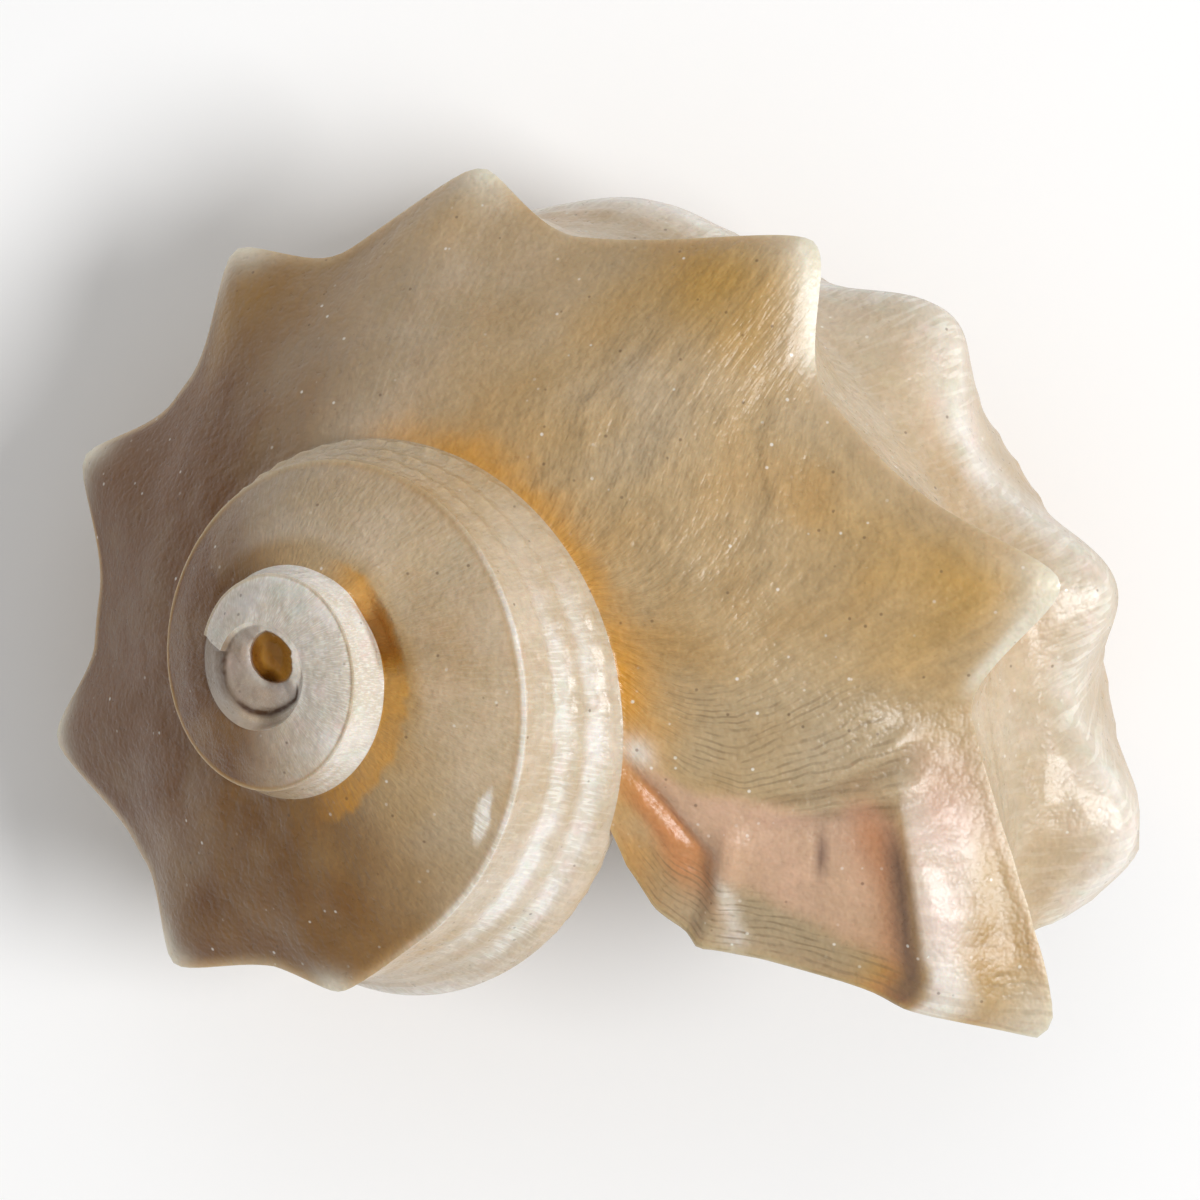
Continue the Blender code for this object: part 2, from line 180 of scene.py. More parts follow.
@dataclass(frozen=True)
class Spine:
    """One spine of the shoulder: growth of its tip in degrees, reach and drop in mm."""

    at: float
    reach: float
    drop: float
    back: float
    front: float
    hollow: float


@dataclass(frozen=True)
class Knob:
    """One low knob of the periphery: growth in degrees, height in mm, width in degrees."""

    at: float
    height: float
    width: float


@dataclass(frozen=True)
class ShellForm:
    """Growth law of the shell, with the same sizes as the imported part, in mm."""

    first_station: float = -3.75
    station_step: float = 0.25
    shoulder_r: Numbers = (
        1.3, 1.5, 1.7, 2.0, 2.8, 3.6, 4.5, 5.3, 6.3, 7.7, 10.2, 12.5, 15.9, 17.5, 21.9, 28.3, 35.0,
    )
    shoulder_z: Numbers = (
        -1.6, -1.8, -2.1, -2.6, -3.0, -3.1, -3.2, -3.5, -4.5, -5.8, -6.9, -8.0, -10.2, -13.6,
        -18.4, -25.4, -33.0,
    )
    periphery_r: Numbers = (
        1.5, 1.8, 2.2, 2.7, 3.3, 4.0, 4.9, 5.8, 6.9, 8.8, 11.2, 14.2, 17.7, 19.5, 22.5, 28.6, 36.0,
    )
    periphery_z: Numbers = (
        -1.8, -2.1, -2.5, -2.9, -3.3, -3.9, -4.6, -5.4, -6.5, -8.2, -10.9, -14.4, -18.5, -22.0,
        -27.0, -33.0, -39.0,
    )
    base_r: Numbers = (
        1.2, 1.4, 1.7, 2.1, 2.5, 3.1, 3.7, 4.5, 5.5, 6.8, 8.2, 8.9, 11.4, 15.0, 18.3, 22.0, 26.0,
    )
    base_z: Numbers = (
        -4.7, -4.8, -5.0, -5.3, -5.7, -6.4, -7.5, -8.9, -10.8, -13.2, -15.4, -17.4, -21.2, -27.0,
        -34.5, -45.2, -53.0,
    )
    margin_r: Numbers = (
        0.6, 0.7, 0.9, 1.1, 1.3, 1.6, 2.0, 2.5, 3.1, 3.9, 4.9, 6.1, 7.5, 8.9, 10.4, 12.4, 15.0,
    )
    margin_z: Numbers = (
        -4.9, -5.0, -5.2, -5.5, -6.0, -6.8, -8.0, -9.4, -11.4, -13.9, -16.8, -20.2, -23.8, -27.6,
        -34.0, -44.1, -52.0,
    )
    turns: float = 2.64
    lip_growth: float = 0.0125
    lip_azimuth: float = 120.0
    axis_lean: float = 33.5
    axis_turn: float = -4.0
    next_whorl_at: float = 3.62
    rest_offset: Numbers = (17.155, 3.135, -29.554)
    spines: tuple[Spine, ...] = (
        Spine(2.0, 5.2, -1.7, 27.0, 14.0, 2.0),
        Spine(-36.3, 6.0, -1.3, 26.0, 11.0, 3.8),
        Spine(-74.5, 5.0, -1.2, 26.0, 12.0, 2.3),
        Spine(-113.7, 3.0, -1.0, 22.0, 14.0, 1.9),
        Spine(-148.8, 3.6, -0.9, 12.5, 16.0, 1.9),
        Spine(-183.5, 3.7, -0.8, 16.0, 14.5, 2.0),
        Spine(-222.5, 3.3, -0.7, 19.5, 12.0, 1.7),
        Spine(-263.0, 2.8, -0.6, 19.5, 12.5, 1.8),
        Spine(-298.0, 1.0, -0.4, 20.0, 13.0, 1.8),
    )
    knobs: tuple[Knob, ...] = (
        Knob(-13.0, 3.5, 8.0),
        Knob(-36.0, 3.6, 8.0),
        Knob(-66.5, 3.2, 8.5),
        Knob(-103.0, 0.9, 11.0),
        Knob(-141.0, 0.8, 8.0),
        Knob(-176.5, 0.8, 8.0),
        Knob(-213.5, 0.8, 8.0),
        Knob(-253.5, 0.5, 8.0),
    )
    spine_front_power: float = 1.7
    spine_round: float = 2.0
    ridge_growth: Numbers = (-15.0, 0.0, 5.0)
    ridge_s: Numbers = (0.755, 0.755, 0.79)
    ridge_height: float = 1.1
    low_ridge_at: float = 0.325
    low_ridge_height: float = 0.45
    groove_growth: Numbers = (-9.0, -3.5, 0.5, 5.5, 9.0)
    groove_s: Numbers = (0.02, 0.14, 0.24, 0.28, 0.29)
    groove_depth: float = 0.4
    knob_every: float = 25.0
    slit_at: float = -407.0
    edge_s: Numbers = (0.0, 0.07, 0.18, 0.33, 0.49, 0.66, 0.85, 1.0, 1.35, 1.7, 2.0, 2.3, 3.0, 4.0, 5.0)
    edge_ahead: Numbers = (
        0.0, 4.7, 8.3, 9.4, 6.0, 3.2, 0.7, -0.9, -2.9, -4.3, -7.6, -14.0, -18.5, -13.0, 0.0,
    )

    def along(self, values: Numbers, n: np.ndarray) -> np.ndarray:
        """Smooth curve through the quarter-turn stations.

        Args:
            values: one value per station.
            n: growth in turns.

        Returns:
            The curve's value at each n.
        """
        v = np.asarray(values, float)
        v = np.concatenate([[2 * v[0] - v[1]], v, [2 * v[-1] - v[-2]]])
        x = (np.asarray(n, float) - self.first_station) / self.station_step
        i = np.clip(np.floor(x).astype(int), 0, len(v) - 4)
        t = x - i
        a, b, c, d = v[i], v[i + 1], v[i + 2], v[i + 3]
        return 0.5 * (2 * b + (c - a) * t + (2 * a - 5 * b + 4 * c - d) * t**2
                      + (3 * b - a - 3 * c + d) * t**3)

    def spine_profile(self, x: np.ndarray, spine: Spine) -> np.ndarray:
        """Height of a spine along the growth.

        Args:
            x: degrees ahead of the spine's tip.
            spine: which spine.

        Returns:
            Height from 0 to 1 at the tip.
        """
        away = np.sqrt(x * x + self.spine_round**2) - 0.9 * self.spine_round
        behind = np.clip(1 - away / spine.back, 0, 1) ** spine.hollow
        ahead = np.clip(1 - away / spine.front, 0, 1) ** self.spine_front_power
        return np.where(x < 0, behind, ahead)

    def lip_folds(self, degrees: np.ndarray, s: np.ndarray) -> np.ndarray:
        """Ridges and groove of the last part of the ramp.

        Args:
            degrees: growth in degrees.
            s: place round the section.

        Returns:
            Height in mm.
        """
        ridge = np.interp(degrees, self.ridge_growth, self.ridge_s)
        across = np.where(s < ridge, 0.055, 0.11)
        up = self.ridge_height * hump(s - ridge, across) * ease(-16, -6, degrees)
        up = up + self.low_ridge_height * hump(s - self.low_ridge_at, 0.035) * ease(-8, -1, degrees)
        groove = np.interp(degrees, self.groove_growth, self.groove_s)
        up = up - self.groove_depth * hump(s - groove, 0.05) * ease(-11, -5, degrees)
        return np.where(s < 1.5, up, 0.0)

    def relief(self, n: np.ndarray, s: np.ndarray) -> tuple[np.ndarray, np.ndarray]:
        """What spines, knobs, folds and the worn slit add.

        Args:
            n: growth in turns.
            s: place round the section.

        Returns:
            Additions to radius and to height, in mm.
        """
        degrees = TURN * n
        on_ramp = ease(0.30, 1.0, s) ** 1.5
        on_wall = np.clip(1 - (s - 1) / 0.55, 0, 1) ** 1.6
        across = np.where(s < 1, on_ramp, on_wall)
        dr = np.zeros_like(degrees)
        dz = np.zeros_like(degrees)
        for spine in self.spines:
            g = self.spine_profile(degrees - spine.at, spine) * across
            dr = dr + spine.reach * g
            dz = dz + spine.drop * g
        row = hump(s - 2.0, 0.30)
        for knob in self.knobs:
            g = knob.height * hump(degrees - knob.at, knob.width) * row
            dr = dr + g
            dz = dz - 0.3 * g
        fold = self.lip_folds(degrees, s)
        edge = hump(s - 4.0, 0.16) * 0.07 * self.along(self.margin_r, n)
        edge = edge * np.cos(math.pi * degrees / self.knob_every) ** 2
        opened = window(degrees, self.slit_at - 17, self.slit_at + 17, 9) * (1 - ease(0.10, 0.19, s))
        opened = opened + window(degrees + TURN, self.slit_at - 17, self.slit_at + 17, 9) * hump(s - 2, 0.11)
        return dr + 0.35 * fold - 0.5 * edge - 0.6 * opened, dz + fold - edge - 0.8 * opened

    def section(self, n: np.ndarray, s: np.ndarray, start: tuple, end: tuple,
                relief_share: float = 1.0) -> tuple[np.ndarray, np.ndarray]:
        """One whorl's section.

        Args:
            n: growth in turns.
            s: place round the section.
            start: radius and height of the suture, on the whorl before.
            end: radius and height of the umbilical suture, on the whorl before.
            relief_share: how much of spines, knobs and folds counts.

        Returns:
            Radius and height in mm, along the shell's own axis.
        """
        n, s = np.broadcast_arrays(np.asarray(n, float), np.asarray(s, float))
        sr, sz = self.along(self.shoulder_r, n), self.along(self.shoulder_z, n)
        pr, pz = self.along(self.periphery_r, n), self.along(self.periphery_z, n)
        br, bz = self.along(self.base_r, n), self.along(self.base_z, n)
        mr, mz = self.along(self.margin_r, n), self.along(self.margin_z, n)
        ur, uz = start
        vr, vz = end
        part = np.clip(np.floor(s), 0, 4).astype(int)
        f = s - part
        arch = np.sin(math.pi * np.clip(f, 0, 1))
        quarter = f * math.pi / 2
        hollow = 0.10 * np.hypot(vr - mr, vz - mz) * arch
        radii = (
            ur + (sr - ur) * f - (sz - uz) * 0.045 * arch,
            sr + (pr - sr) * f + (pz - sz) * 0.05 * arch,
            br + (pr - br) * np.cos(quarter),
            br + (mr - br) * f,
            mr + (vr - mr) * np.abs(f) ** 0.8 + hollow,
        )
        heights = (
            uz + (sz - uz) * f + (sr - ur) * 0.045 * arch,
            sz + (pz - sz) * f - (pr - sr) * 0.05 * arch,
            pz + (bz - pz) * np.sin(quarter),
            bz + (mz - bz) * f**2,
            mz + (vz - mz) * f,
        )
        dr, dz = self.relief(n, s)
        return np.choose(part, radii) + dr * relief_share, np.choose(part, heights) + dz * relief_share

    def suture(self, n: np.ndarray, relief_share: float = 1.0) -> tuple[np.ndarray, np.ndarray]:
        """The line on a whorl on which the next whorl starts.

        Args:
            n: growth in turns of the older whorl.
            relief_share: how much of its spines and knobs counts.

        Returns:
            Radius and height in mm.
        """
        n = np.asarray(n, float)
        dr, dz = self.relief(n, np.full_like(n, 2.0))
        return (self.along(self.periphery_r, n) + dr * relief_share,
                self.along(self.periphery_z, n) + dz * relief_share)

    def umbilical_suture(self, n: np.ndarray) -> tuple[np.ndarray, np.ndarray]:
        """The line inside the umbilicus on which the next whorl starts.

        Args:
            n: growth in turns of the older whorl.

        Returns:
            Radius and height in mm.
        """
        f = self.next_whorl_at - 3
        br, bz = self.along(self.base_r, n), self.along(self.base_z, n)
        return (br + (self.along(self.margin_r, n) - br) * f,
                bz + (self.along(self.margin_z, n) - bz) * f**2)

    def place(self, r: np.ndarray, z: np.ndarray, azimuth: np.ndarray) -> np.ndarray:
        """From the shell's own axis to the way it rests.

        Args:
            r: distance from the axis in mm.
            z: height along the axis in mm.
            azimuth: angle round the axis in radians, clockwise from above.

        Returns:
            Points in mm, Z up from the surface that the shell lies on.
        """
        lean, turn = math.radians(self.axis_lean), math.radians(self.axis_turn)
        x, y = r * np.sin(azimuth), r * np.cos(azimuth)
        dx, dy = -math.cos(turn), math.sin(turn)
        along_lean, across = x * dx + y * dy, y * dx - x * dy
        flat = along_lean * math.cos(lean) + z * math.sin(lean)
        up = z * math.cos(lean) - along_lean * math.sin(lean)
        points = np.stack([flat * dx - across * dy, flat * dy + across * dx, up], -1)
        return points - np.array(self.rest_offset)

    def azimuth_of(self, n: np.ndarray) -> np.ndarray:
        """Angle in radians round the axis at growth n."""
        return math.radians(self.lip_azimuth) + 2 * math.pi * n

    def grown(self, n: np.ndarray, s: np.ndarray) -> np.ndarray:
        """Growth of the growing edge that passes through n at the suture, at s."""
        return n + np.interp(s, self.edge_s, self.edge_ahead) / TURN * ease(-0.22, -0.02, n)

    def outside(self, n: np.ndarray, s: np.ndarray) -> np.ndarray:
        """Points of the outside.

        Args:
            n: growth in turns of the suture on the same growth line.
            s: place round the section.

        Returns:
            Points in mm, as the shell rests.
        """
        n, s = np.broadcast_arrays(np.asarray(n, float), np.asarray(s, float))
        n = self.grown(n, s)
        r, z = self.section(n, s, self.suture(n - 1), self.umbilical_suture(n - 1))
        return self.place(r, z, self.azimuth_of(n))

    def tube_middle(self, n: np.ndarray) -> tuple[np.ndarray, np.ndarray]:
        """Middle of the hollow.

        Args:
            n: growth in turns.

        Returns:
            Radius and height in mm.
        """
        top = 0.5 * (self.along(self.periphery_z, n - 1) + self.along(self.shoulder_z, n))
        r = 0.5 * (self.along(self.margin_r, n) + self.along(self.periphery_r, n)) + 0.3
        return r, 0.5 * (top + self.along(self.base_z, n)) + 0.3

    def tube_radius(self, n: float, angles: np.ndarray) -> np.ndarray:
        """How far the whorl's outside is from the middle of the hollow.

        Args:
            n: growth in turns.
            angles: directions in the section, in radians.

        Returns:
            One distance per angle, in mm.
        """
        s_out = np.concatenate([np.linspace(0, 1, 14)[:-1], np.linspace(1, 5, 50)])
        s_in = np.linspace(self.next_whorl_at, 2, 16)[1:-1]
        r1, z1 = self.section(n, s_out, self.suture(n - 1, 0.0), self.umbilical_suture(n - 1), 0.0)
        r2, z2 = self.section(n - 1, s_in, self.suture(n - 2, 0.0), self.umbilical_suture(n - 2), 0.0)
        cr, cz = self.tube_middle(n)
        r, z = np.concatenate([r1, r2]) - cr, np.concatenate([z1, z2]) - cz
        a = np.arctan2(z, r)
        order = np.argsort(a)
        return np.interp(angles, a[order], np.hypot(z, r)[order], period=2 * math.pi)


class Mask(Enum):
    """Pigments, painted shade, highlights and glints, and states of the surface, each painted as one channel
    of a colour attribute.
    """

    AMBER = ("stain_and_shade", 0)
    OCHRE = ("stain_and_shade", 1)
    UMBER_AND_SHADE = ("stain_and_shade", 2)
    PEARL_AND_GLINT = ("shine", 0)
    CHALK_AND_HIGHLIGHT = ("shine", 1)
    ROSE = ("shine", 2)
    PLUM_AND_SHADE = ("wear_and_shade", 0)
    DIRT_AND_SHADE = ("wear_and_shade", 1)
    RIB = ("wear_and_shade", 2)
    ORANGE = ("tint", 0)
    GREY = ("tint", 1)
    LINE = ("tint", 2)


Masks = dict[Mask, np.ndarray]
LAYERS = tuple(dict.fromkeys(mask.value[0] for mask in Mask))
LAST_WHORL = Rise(-325.0, -300.0)
PENULTIMATE = Rise(-640.0, -520.0)


@dataclass(frozen=True)
class Surface:
    """A grid of points in mm with growth and section coordinates and painted masks."""

    points: np.ndarray
    growth: np.ndarray
    section: np.ndarray
    masks: Masks


def line_at(s: np.ndarray, line: Path) -> np.ndarray:
    """Growth in degrees of a line across the ramp.

    Args:
        s: place round the section.
        line: points of the line, growth in degrees and s, with s rising.

    Returns:
        Growth of the line at each s.
    """
    return np.interp(s, [p[1] for p in line], [p[0] for p in line])


@dataclass(frozen=True)
class Carving:
    """Fine relief of the outside: heights in mm along its normal, places as degrees of growth and s."""

    wrinkle: float = 0.15
    fold: float = 0.12
    swell: float = 0.16
    calm_share: float = 0.18
    lamella: float = 0.045
    lamella_every: float = 4.4
    old_lip: float = 0.22
    scar: float = 0.18
    cord: float = 0.13
    bead_every: float = 7.0
    base_cord: float = 0.11
    base_bead_every: float = 5.5
    bead: float = 0.07
    wall_grain: float = 0.05
    torn_edge: float = 0.10
    worn_swell: float = 0.03
    ramp: Span = Span(0.03, 0.96, 0.05)
    wrinkled: Span = Span(0.12, 0.85, 0.12)
    folded: Span = Span(0.15, 0.95, 0.1)
    fresh: Span = Span(-82.0, -34.0, 8.0)
    near_lip: Rise = Rise(-26.0, -8.0)
    lamellae: Span = Span(0.05, 1.9, 0.04)
    lip_a: Path = ((-11.2, 0.39), (-13.2, 0.50), (-19.1, 0.74), (-24.7, 0.93))
    lip_b: Path = ((-8.2, 0.40), (-12.1, 0.58), (-15.5, 0.78), (-21.0, 0.98))
    old_lip_span: Span = Span(0.40, 0.80, 0.06)
    scar_at: float = -5.4
    scar_s: float = 0.545
    wall: Span = Span(1.02, 1.95, 0.04)
    outer_cords: Numbers = (1.22, 1.42, 1.60, 1.78, 1.92)
    inner_cords: Numbers = (1.27, 1.58, 1.88)
    base_cords: Numbers = (2.22, 2.45, 2.7, 2.95, 3.2, 3.44)
    shoulder: Spot = Spot(0.995, 0.03)
    torn_at: Spot = Spot(-386.0, 14.0)
    torn_s: Spot = Spot(1.93, 0.04)
    worn_until: Rise = Rise(-725.0, -700.0)

    def phase(self, row: np.ndarray, s: np.ndarray) -> np.ndarray:
        """Growth that the fine lines follow, which lean across the ramp in front of a spine.

        Args:
            row: growth of the suture in turns, the same along one growth line.
            s: place round the section.

        Returns:
            Degrees.
        """
        line = TURN * row
        lean = np.clip(s, 0, 1) - 0.5 - 0.5 * ease(1.0, 1.5, s)
        return line + 30 * lean * hump(line + 57, 26)

    def on_ramp(self, row: np.ndarray, at: np.ndarray, s: np.ndarray) -> np.ndarray:
        """Wrinkles, folds and swells of the ramp.

        Args:
            row: growth of the suture in turns.
            at: growth in degrees.
            s: place round the section.

        Returns:
            Height in mm.
        """
        line, body = TURN * row, LAST_WHORL.of(at)
        ramp, fresh = self.ramp.of(s), self.fresh.of(at)
        strength = self.calm_share + (1 - self.calm_share) * fresh * self.wrinkled.of(s)
        flow = self.phase(row, s) + 3 * cloudy(line / 12, s * 4, 2, 2)
        wrinkles = cloudy(flow / 3.0, s * 5.0, 3, 3)
        folds = np.clip(1 - 3.5 * np.abs(cloudy(flow / 9, s * 2.0, 8, 2)), 0, 1)
        swells = cloudy(line / 13, s * 3.1, 5, 2)
        return (self.fold * folds * ramp * fresh * self.folded.of(s)
                + self.wrinkle * wrinkles * ramp * strength * (0.35 + 0.65 * body)
                + self.swell * swells * ramp * (0.3 + 0.7 * body))

    def at_lip(self, line: np.ndarray, at: np.ndarray, s: np.ndarray) -> np.ndarray:
        """Thin lamellae, the two older lips and the scar beside the last one.

        Args:
            line: growth of the suture in degrees.
            at: growth in degrees.
            s: place round the section.

        Returns:
            Height in mm.
        """
        waves = np.abs(np.sin(math.pi * line / self.lamella_every + 1.2 * cloudy(line / 9, s * 4, 9, 2)))
        h = self.lamella * (waves - 0.6) * self.near_lip.of(line) * self.lamellae.of(s)
        for path in (self.lip_a, self.lip_b):
            away = at - line_at(s, path)
            h = h + self.old_lip * (hump(away, 0.9) - 0.8 * hump(away - 1.9, 1.1)) * self.old_lip_span.of(s)
        return h - self.scar * hump(at - self.scar_at, 3.0) * hump(s - self.scar_s, 0.010)

    def cords(self, line: np.ndarray, at: np.ndarray, s: np.ndarray) -> np.ndarray:
        """Beaded spiral cords of the walls and the base, and the beads of the shoulder.

        Args:
            line: growth of the suture in degrees.
            at: growth in degrees.
            s: place round the section.

        Returns:
            Height in mm.
        """
        body = LAST_WHORL.of(at)
        uneven = 2 * cloudy(line / 20, s * 0, 4, 1)
        beads = 0.75 + 0.25 * np.cos(2 * math.pi * line / self.bead_every + uneven)
        h = self.bead * self.shoulder.of(s) * (1 - 0.6 * body) * (0.8 + 0.2 * beads)
        for k, place in enumerate(self.outer_cords):
            lift = self.cord * (0.75 + 0.25 * math.cos(2.2 * k))
            drift = 0.012 * cloudy(line / 18, s * 0 + k, 6, 2)
            h = h + lift * hump(s - place - drift, 0.032) * body * beads
        for place in self.inner_cords:
            h = h + 1.5 * self.cord * hump(s - place, 0.055) * (1 - body) * beads * PENULTIMATE.of(at)
        turn = 2 * math.pi * line / self.base_bead_every + 2.5 * cloudy(line / 15, s * 2, 7, 2)
        for place in self.base_cords:
            h = h + self.base_cord * hump(s - place, 0.06) * (0.5 + 0.5 * np.cos(turn)) ** 2
        return h

    def on_wall(self, line: np.ndarray, at: np.ndarray, s: np.ndarray) -> np.ndarray:
        """Grain of the walls, the torn edge at the seam and the swells of the worn first whorl.

        Args:
            line: growth of the suture in degrees.
            at: growth in degrees.
            s: place round the section.

        Returns:
            Height in mm.
        """
        grain = cloudy(line / 4.0, s * 7, 13, 3) * self.wall.of(s) * (0.15 + 0.85 * PENULTIMATE.of(at))
        torn = self.torn_s.of(s) * self.torn_at.of(at) * np.sign(cloudy(line / 2.2, s * 30, 21, 1))
        worn = cloudy(line / 14, s * 4, 17, 2) * (1 - self.worn_until.of(at))
        return self.wall_grain * grain - self.torn_edge * torn + self.worn_swell * worn

    def height(self, row: np.ndarray, growth: np.ndarray, s: np.ndarray) -> np.ndarray:
        """Relief of the outside.

        Args:
            row: growth of the suture in turns, the same along one growth line.
            growth: growth in turns at the point itself.
            s: place round the section.

        Returns:
            Height in mm.
        """
        line, at = TURN * row, TURN * growth
        return (self.on_ramp(row, at, s) + self.at_lip(line, at, s)
                + self.cords(line, at, s) + self.on_wall(line, at, s))


@dataclass(frozen=True)
class Zones:
    """Where points lie, as degrees of growth, s and azimuth, and soft regions that pigments share."""

    at: np.ndarray
    s: np.ndarray
    azimuth: np.ndarray
    body: np.ndarray
    middle: np.ndarray
    first: np.ndarray
    ramp: np.ndarray
    wall: np.ndarray
    blotch: np.ndarray
    rough: np.ndarray
    ridge: np.ndarray
    groove: np.ndarray
    flank: np.ndarray
    lobe: np.ndarray
    new_lip: np.ndarray
    lip_edge: np.ndarray


@dataclass(frozen=True)
class Painting:
    """Where each pigment, painted shade and painted light lies on the outside: places as degrees of growth,
    degrees of azimuth or s.
    """

    form: ShellForm
    carving: Carving
    first_ends: Rise = Rise(-735.0, -625.0)
    ramp: Span = Span(-0.2, 0.96, 0.05)
    wall: Span = Span(1.0, 2.02, 0.05)
    groove_growth: Numbers = (-9.2, -3.5, 0.5, 5.4, 9.0)
    groove_s: Numbers = (0.01, 0.13, 0.25, 0.31, 0.36)
    flank_growth: Numbers = (-16.0, -8.0, -1.0, 4.0)
    flank_s: Numbers = (0.92, 0.87, 0.81, 0.84)
    flank_span: Span = Span(-15.0, 9.0, 3.0)
    lobe_from: Rise = Rise(-7.0, -1.0)
    new_lip_from: Rise = Rise(-10.5, -7.5)
    lip_edge_from: Rise = Rise(1.5, 4.5)
    seam_azimuth: Span = Span(10.0, 122.0, 14.0)
    slit_azimuth: Span = Span(35.0, 215.0, 14.0)
    slit_growth: Rise = Rise(-560.0, -500.0)
    lip_seam: Span = Span(3.0, 14.0, 3.0)
    ochre_shares: Numbers = (0.5, 1.0, 1.0, 0.7, 0.5)
    shaded_azimuth: float = 280.0
    shaded_width: float = 66.0
    low_azimuth: Span = Span(150.0, 215.0, 20.0)
    glassy_azimuth: Span = Span(78.0, 150.0, 12.0)
    glassy_s: Span = Span(0.35, 0.82, 0.08)
    patch_at: Spot = Spot(-9.0, 4.0)
    patch_s: Spot = Spot(0.665, 0.06)
    band_a: Spot = Spot(1.42, 0.09)
    band_b: Spot = Spot(1.74, 0.08)
    band_azimuth: Span = Span(80.0, 165.0, 15.0)
    lit_azimuth: Span = Span(66.0, 160.0, 26.0)
    milky_azimuth: Span = Span(-30.0, 122.0, 25.0)
    milky_before: Span = Span(330.0, 400.0, 25.0)
    chip_at: float = -350.0
    chip_s: float = 0.87
    old_lines: Span = Span(-26.0, -10.0, 3.0)
    grey_span: Span = Span(-70.0, -24.0, 8.0)
    rib_span: Span = Span(-82.0, -20.0, 12.0)
    shaded_seam: Span = Span(200.0, 300.0, 30.0)

    def zones(self, growth: np.ndarray, s: np.ndarray) -> Zones:
        """The shared regions.

        Args:
            growth: growth in turns.
            s: place round the section.

        Returns:
            Each region from 0 to 1 at every point.
        """
        at = TURN * growth
        body = LAST_WHORL.of(at)
        first = 1 - self.first_ends.of(at)
        rough = cloudy(at / 5, s * 9, 33, 3)
        ridge = np.interp(at, self.form.ridge_growth, self.form.ridge_s)
        flank_end = np.interp(at, self.flank_growth, self.flank_s)
        flank = self.flank_span.of(at) * ease(ridge - 0.012, ridge + 0.008, s)
        wavy_at = at + 1.6 * rough + 3.5 * hump(s - 0.66, 0.08) + 8 * ease(0.70, 0.80, s)
        return Zones(
            at=at,
            s=s,
            azimuth=(self.form.lip_azimuth + at) % TURN,
            body=body,
            middle=(1 - body) * (1 - first),
            first=first,
            ramp=self.ramp.of(s),
            wall=self.wall.of(s),
            blotch=0.5 + 0.5 * cloudy(at / 14, s * 3, 31, 3),
            rough=rough,
            ridge=ridge,
            groove=np.interp(at, self.groove_growth, self.groove_s),
            flank=flank * (1 - ease(flank_end - 0.03, flank_end + 0.04, s)),
            lobe=self.lobe_from.of(at) * ease(flank_end, flank_end + 0.05, s) * (1 - ease(1.03, 1.1, s)),
            new_lip=self.new_lip_from.of(wavy_at),
            lip_edge=self.lip_edge_from.of(at + 1.5 * rough),
        )

    def amber(self, z: Zones) -> np.ndarray:
        """Clear amber along the seam, in the slit and at the lip's inner corner.

        Args:
            z: the shared regions.

        Returns:
            The mask, not yet clipped.
        """
        seam = hump(z.s, 0.09 + 0.04 * z.rough) * self.seam_azimuth.of(z.azimuth) * z.body
        slit = (1 - ease(0.13, 0.19, z.s + 0.05 * z.rough)) * self.slit_azimuth.of(z.azimuth)
        slit = slit * z.middle * self.slit_growth.of(z.at)
        corner = hump(z.s - 0.10, 0.10) * self.lip_seam.of(z.at)
        return seam * (0.5 + 0.8 * z.blotch) + slit * (0.35 + 0.7 * z.blotch) + 0.5 * corner

    def ochre(self, z: Zones) -> np.ndarray:
        """Yellow ochre at the foot of the spines and on the lip's lobe.

        Args:
            z: the shared regions.

        Returns:
            The mask, not yet clipped.
        """
        feet = np.zeros_like(z.at)
        for spine, share in zip(self.form.spines, self.ochre_shares):
            feet = feet + share * hump(z.at - spine.at + 2, 8) * hump(z.s - 0.82, 0.14)
        streak = 0.6 * hump(z.at - 4, 6) * hump(z.s - 0.70, 0.035)
        return feet * (0.5 + 0.7 * z.blotch) + streak + 0.35 * z.lobe

    def umber(self, z: Zones) -> np.ndarray:
        """Brown, with painted shade on the side turned from the light, and thinner brown on the lip's
        ledges, patch and lobe.

        Args:
            z: the shared regions.

        Returns:
            The mask, not yet clipped.
        """
        # Painted shade: the ramp turned from the light, and the low side of the middle whorl, get extra
        # brown.
        away = (z.azimuth - self.shaded_azimuth + TURN / 2) % TURN - TURN / 2
        shaded = hump(away, self.shaded_width) * (1.4 * z.body + 1.3 * z.middle)
        shaded = (shaded + 0.55 * self.low_azimuth.of(z.azimuth) * (1 - 0.9 * z.first)) * z.ramp
        paths = (self.carving.lip_a, self.carving.lip_b)
        ledge = sum(hump(z.at - line_at(z.s, path) - 1.6, 0.7) for path in paths)
        ledge = ledge * self.carving.old_lip_span.of(z.s)
        glassy = self.glassy_azimuth.of(z.azimuth) * self.glassy_s.of(z.s) * z.middle
        return (shaded * (0.8 + 0.5 * z.blotch) + 0.04 * glassy + 0.35 * ledge
                + 0.55 * self.patch_at.of(z.at) * self.patch_s.of(z.s) + 0.45 * z.lobe)

    def chalk(self, z: Zones) -> np.ndarray:
        """Worn white tips of the spines, with a white rim ahead of the two largest that is partly whitish
        shell and partly a painted highlight on their lit front edge.

        Args:
            z: the shared regions.

        Returns:
            The mask, not yet clipped.
        """
        tips = np.zeros_like(z.at)
        for spine in self.form.spines:
            tips = tips + hump(z.at - spine.at - 1.0, 4.0) * hump(z.s - 1.0, 0.10)
        # Partly a painted highlight: the white rim runs along the lit front edge of the two largest spines.
        for spine in self.form.spines[1:3]:
            tips = tips + 0.9 * window(z.at - spine.at, 0, 10, 2) * hump(z.s - 0.985, 0.032)
        return tips

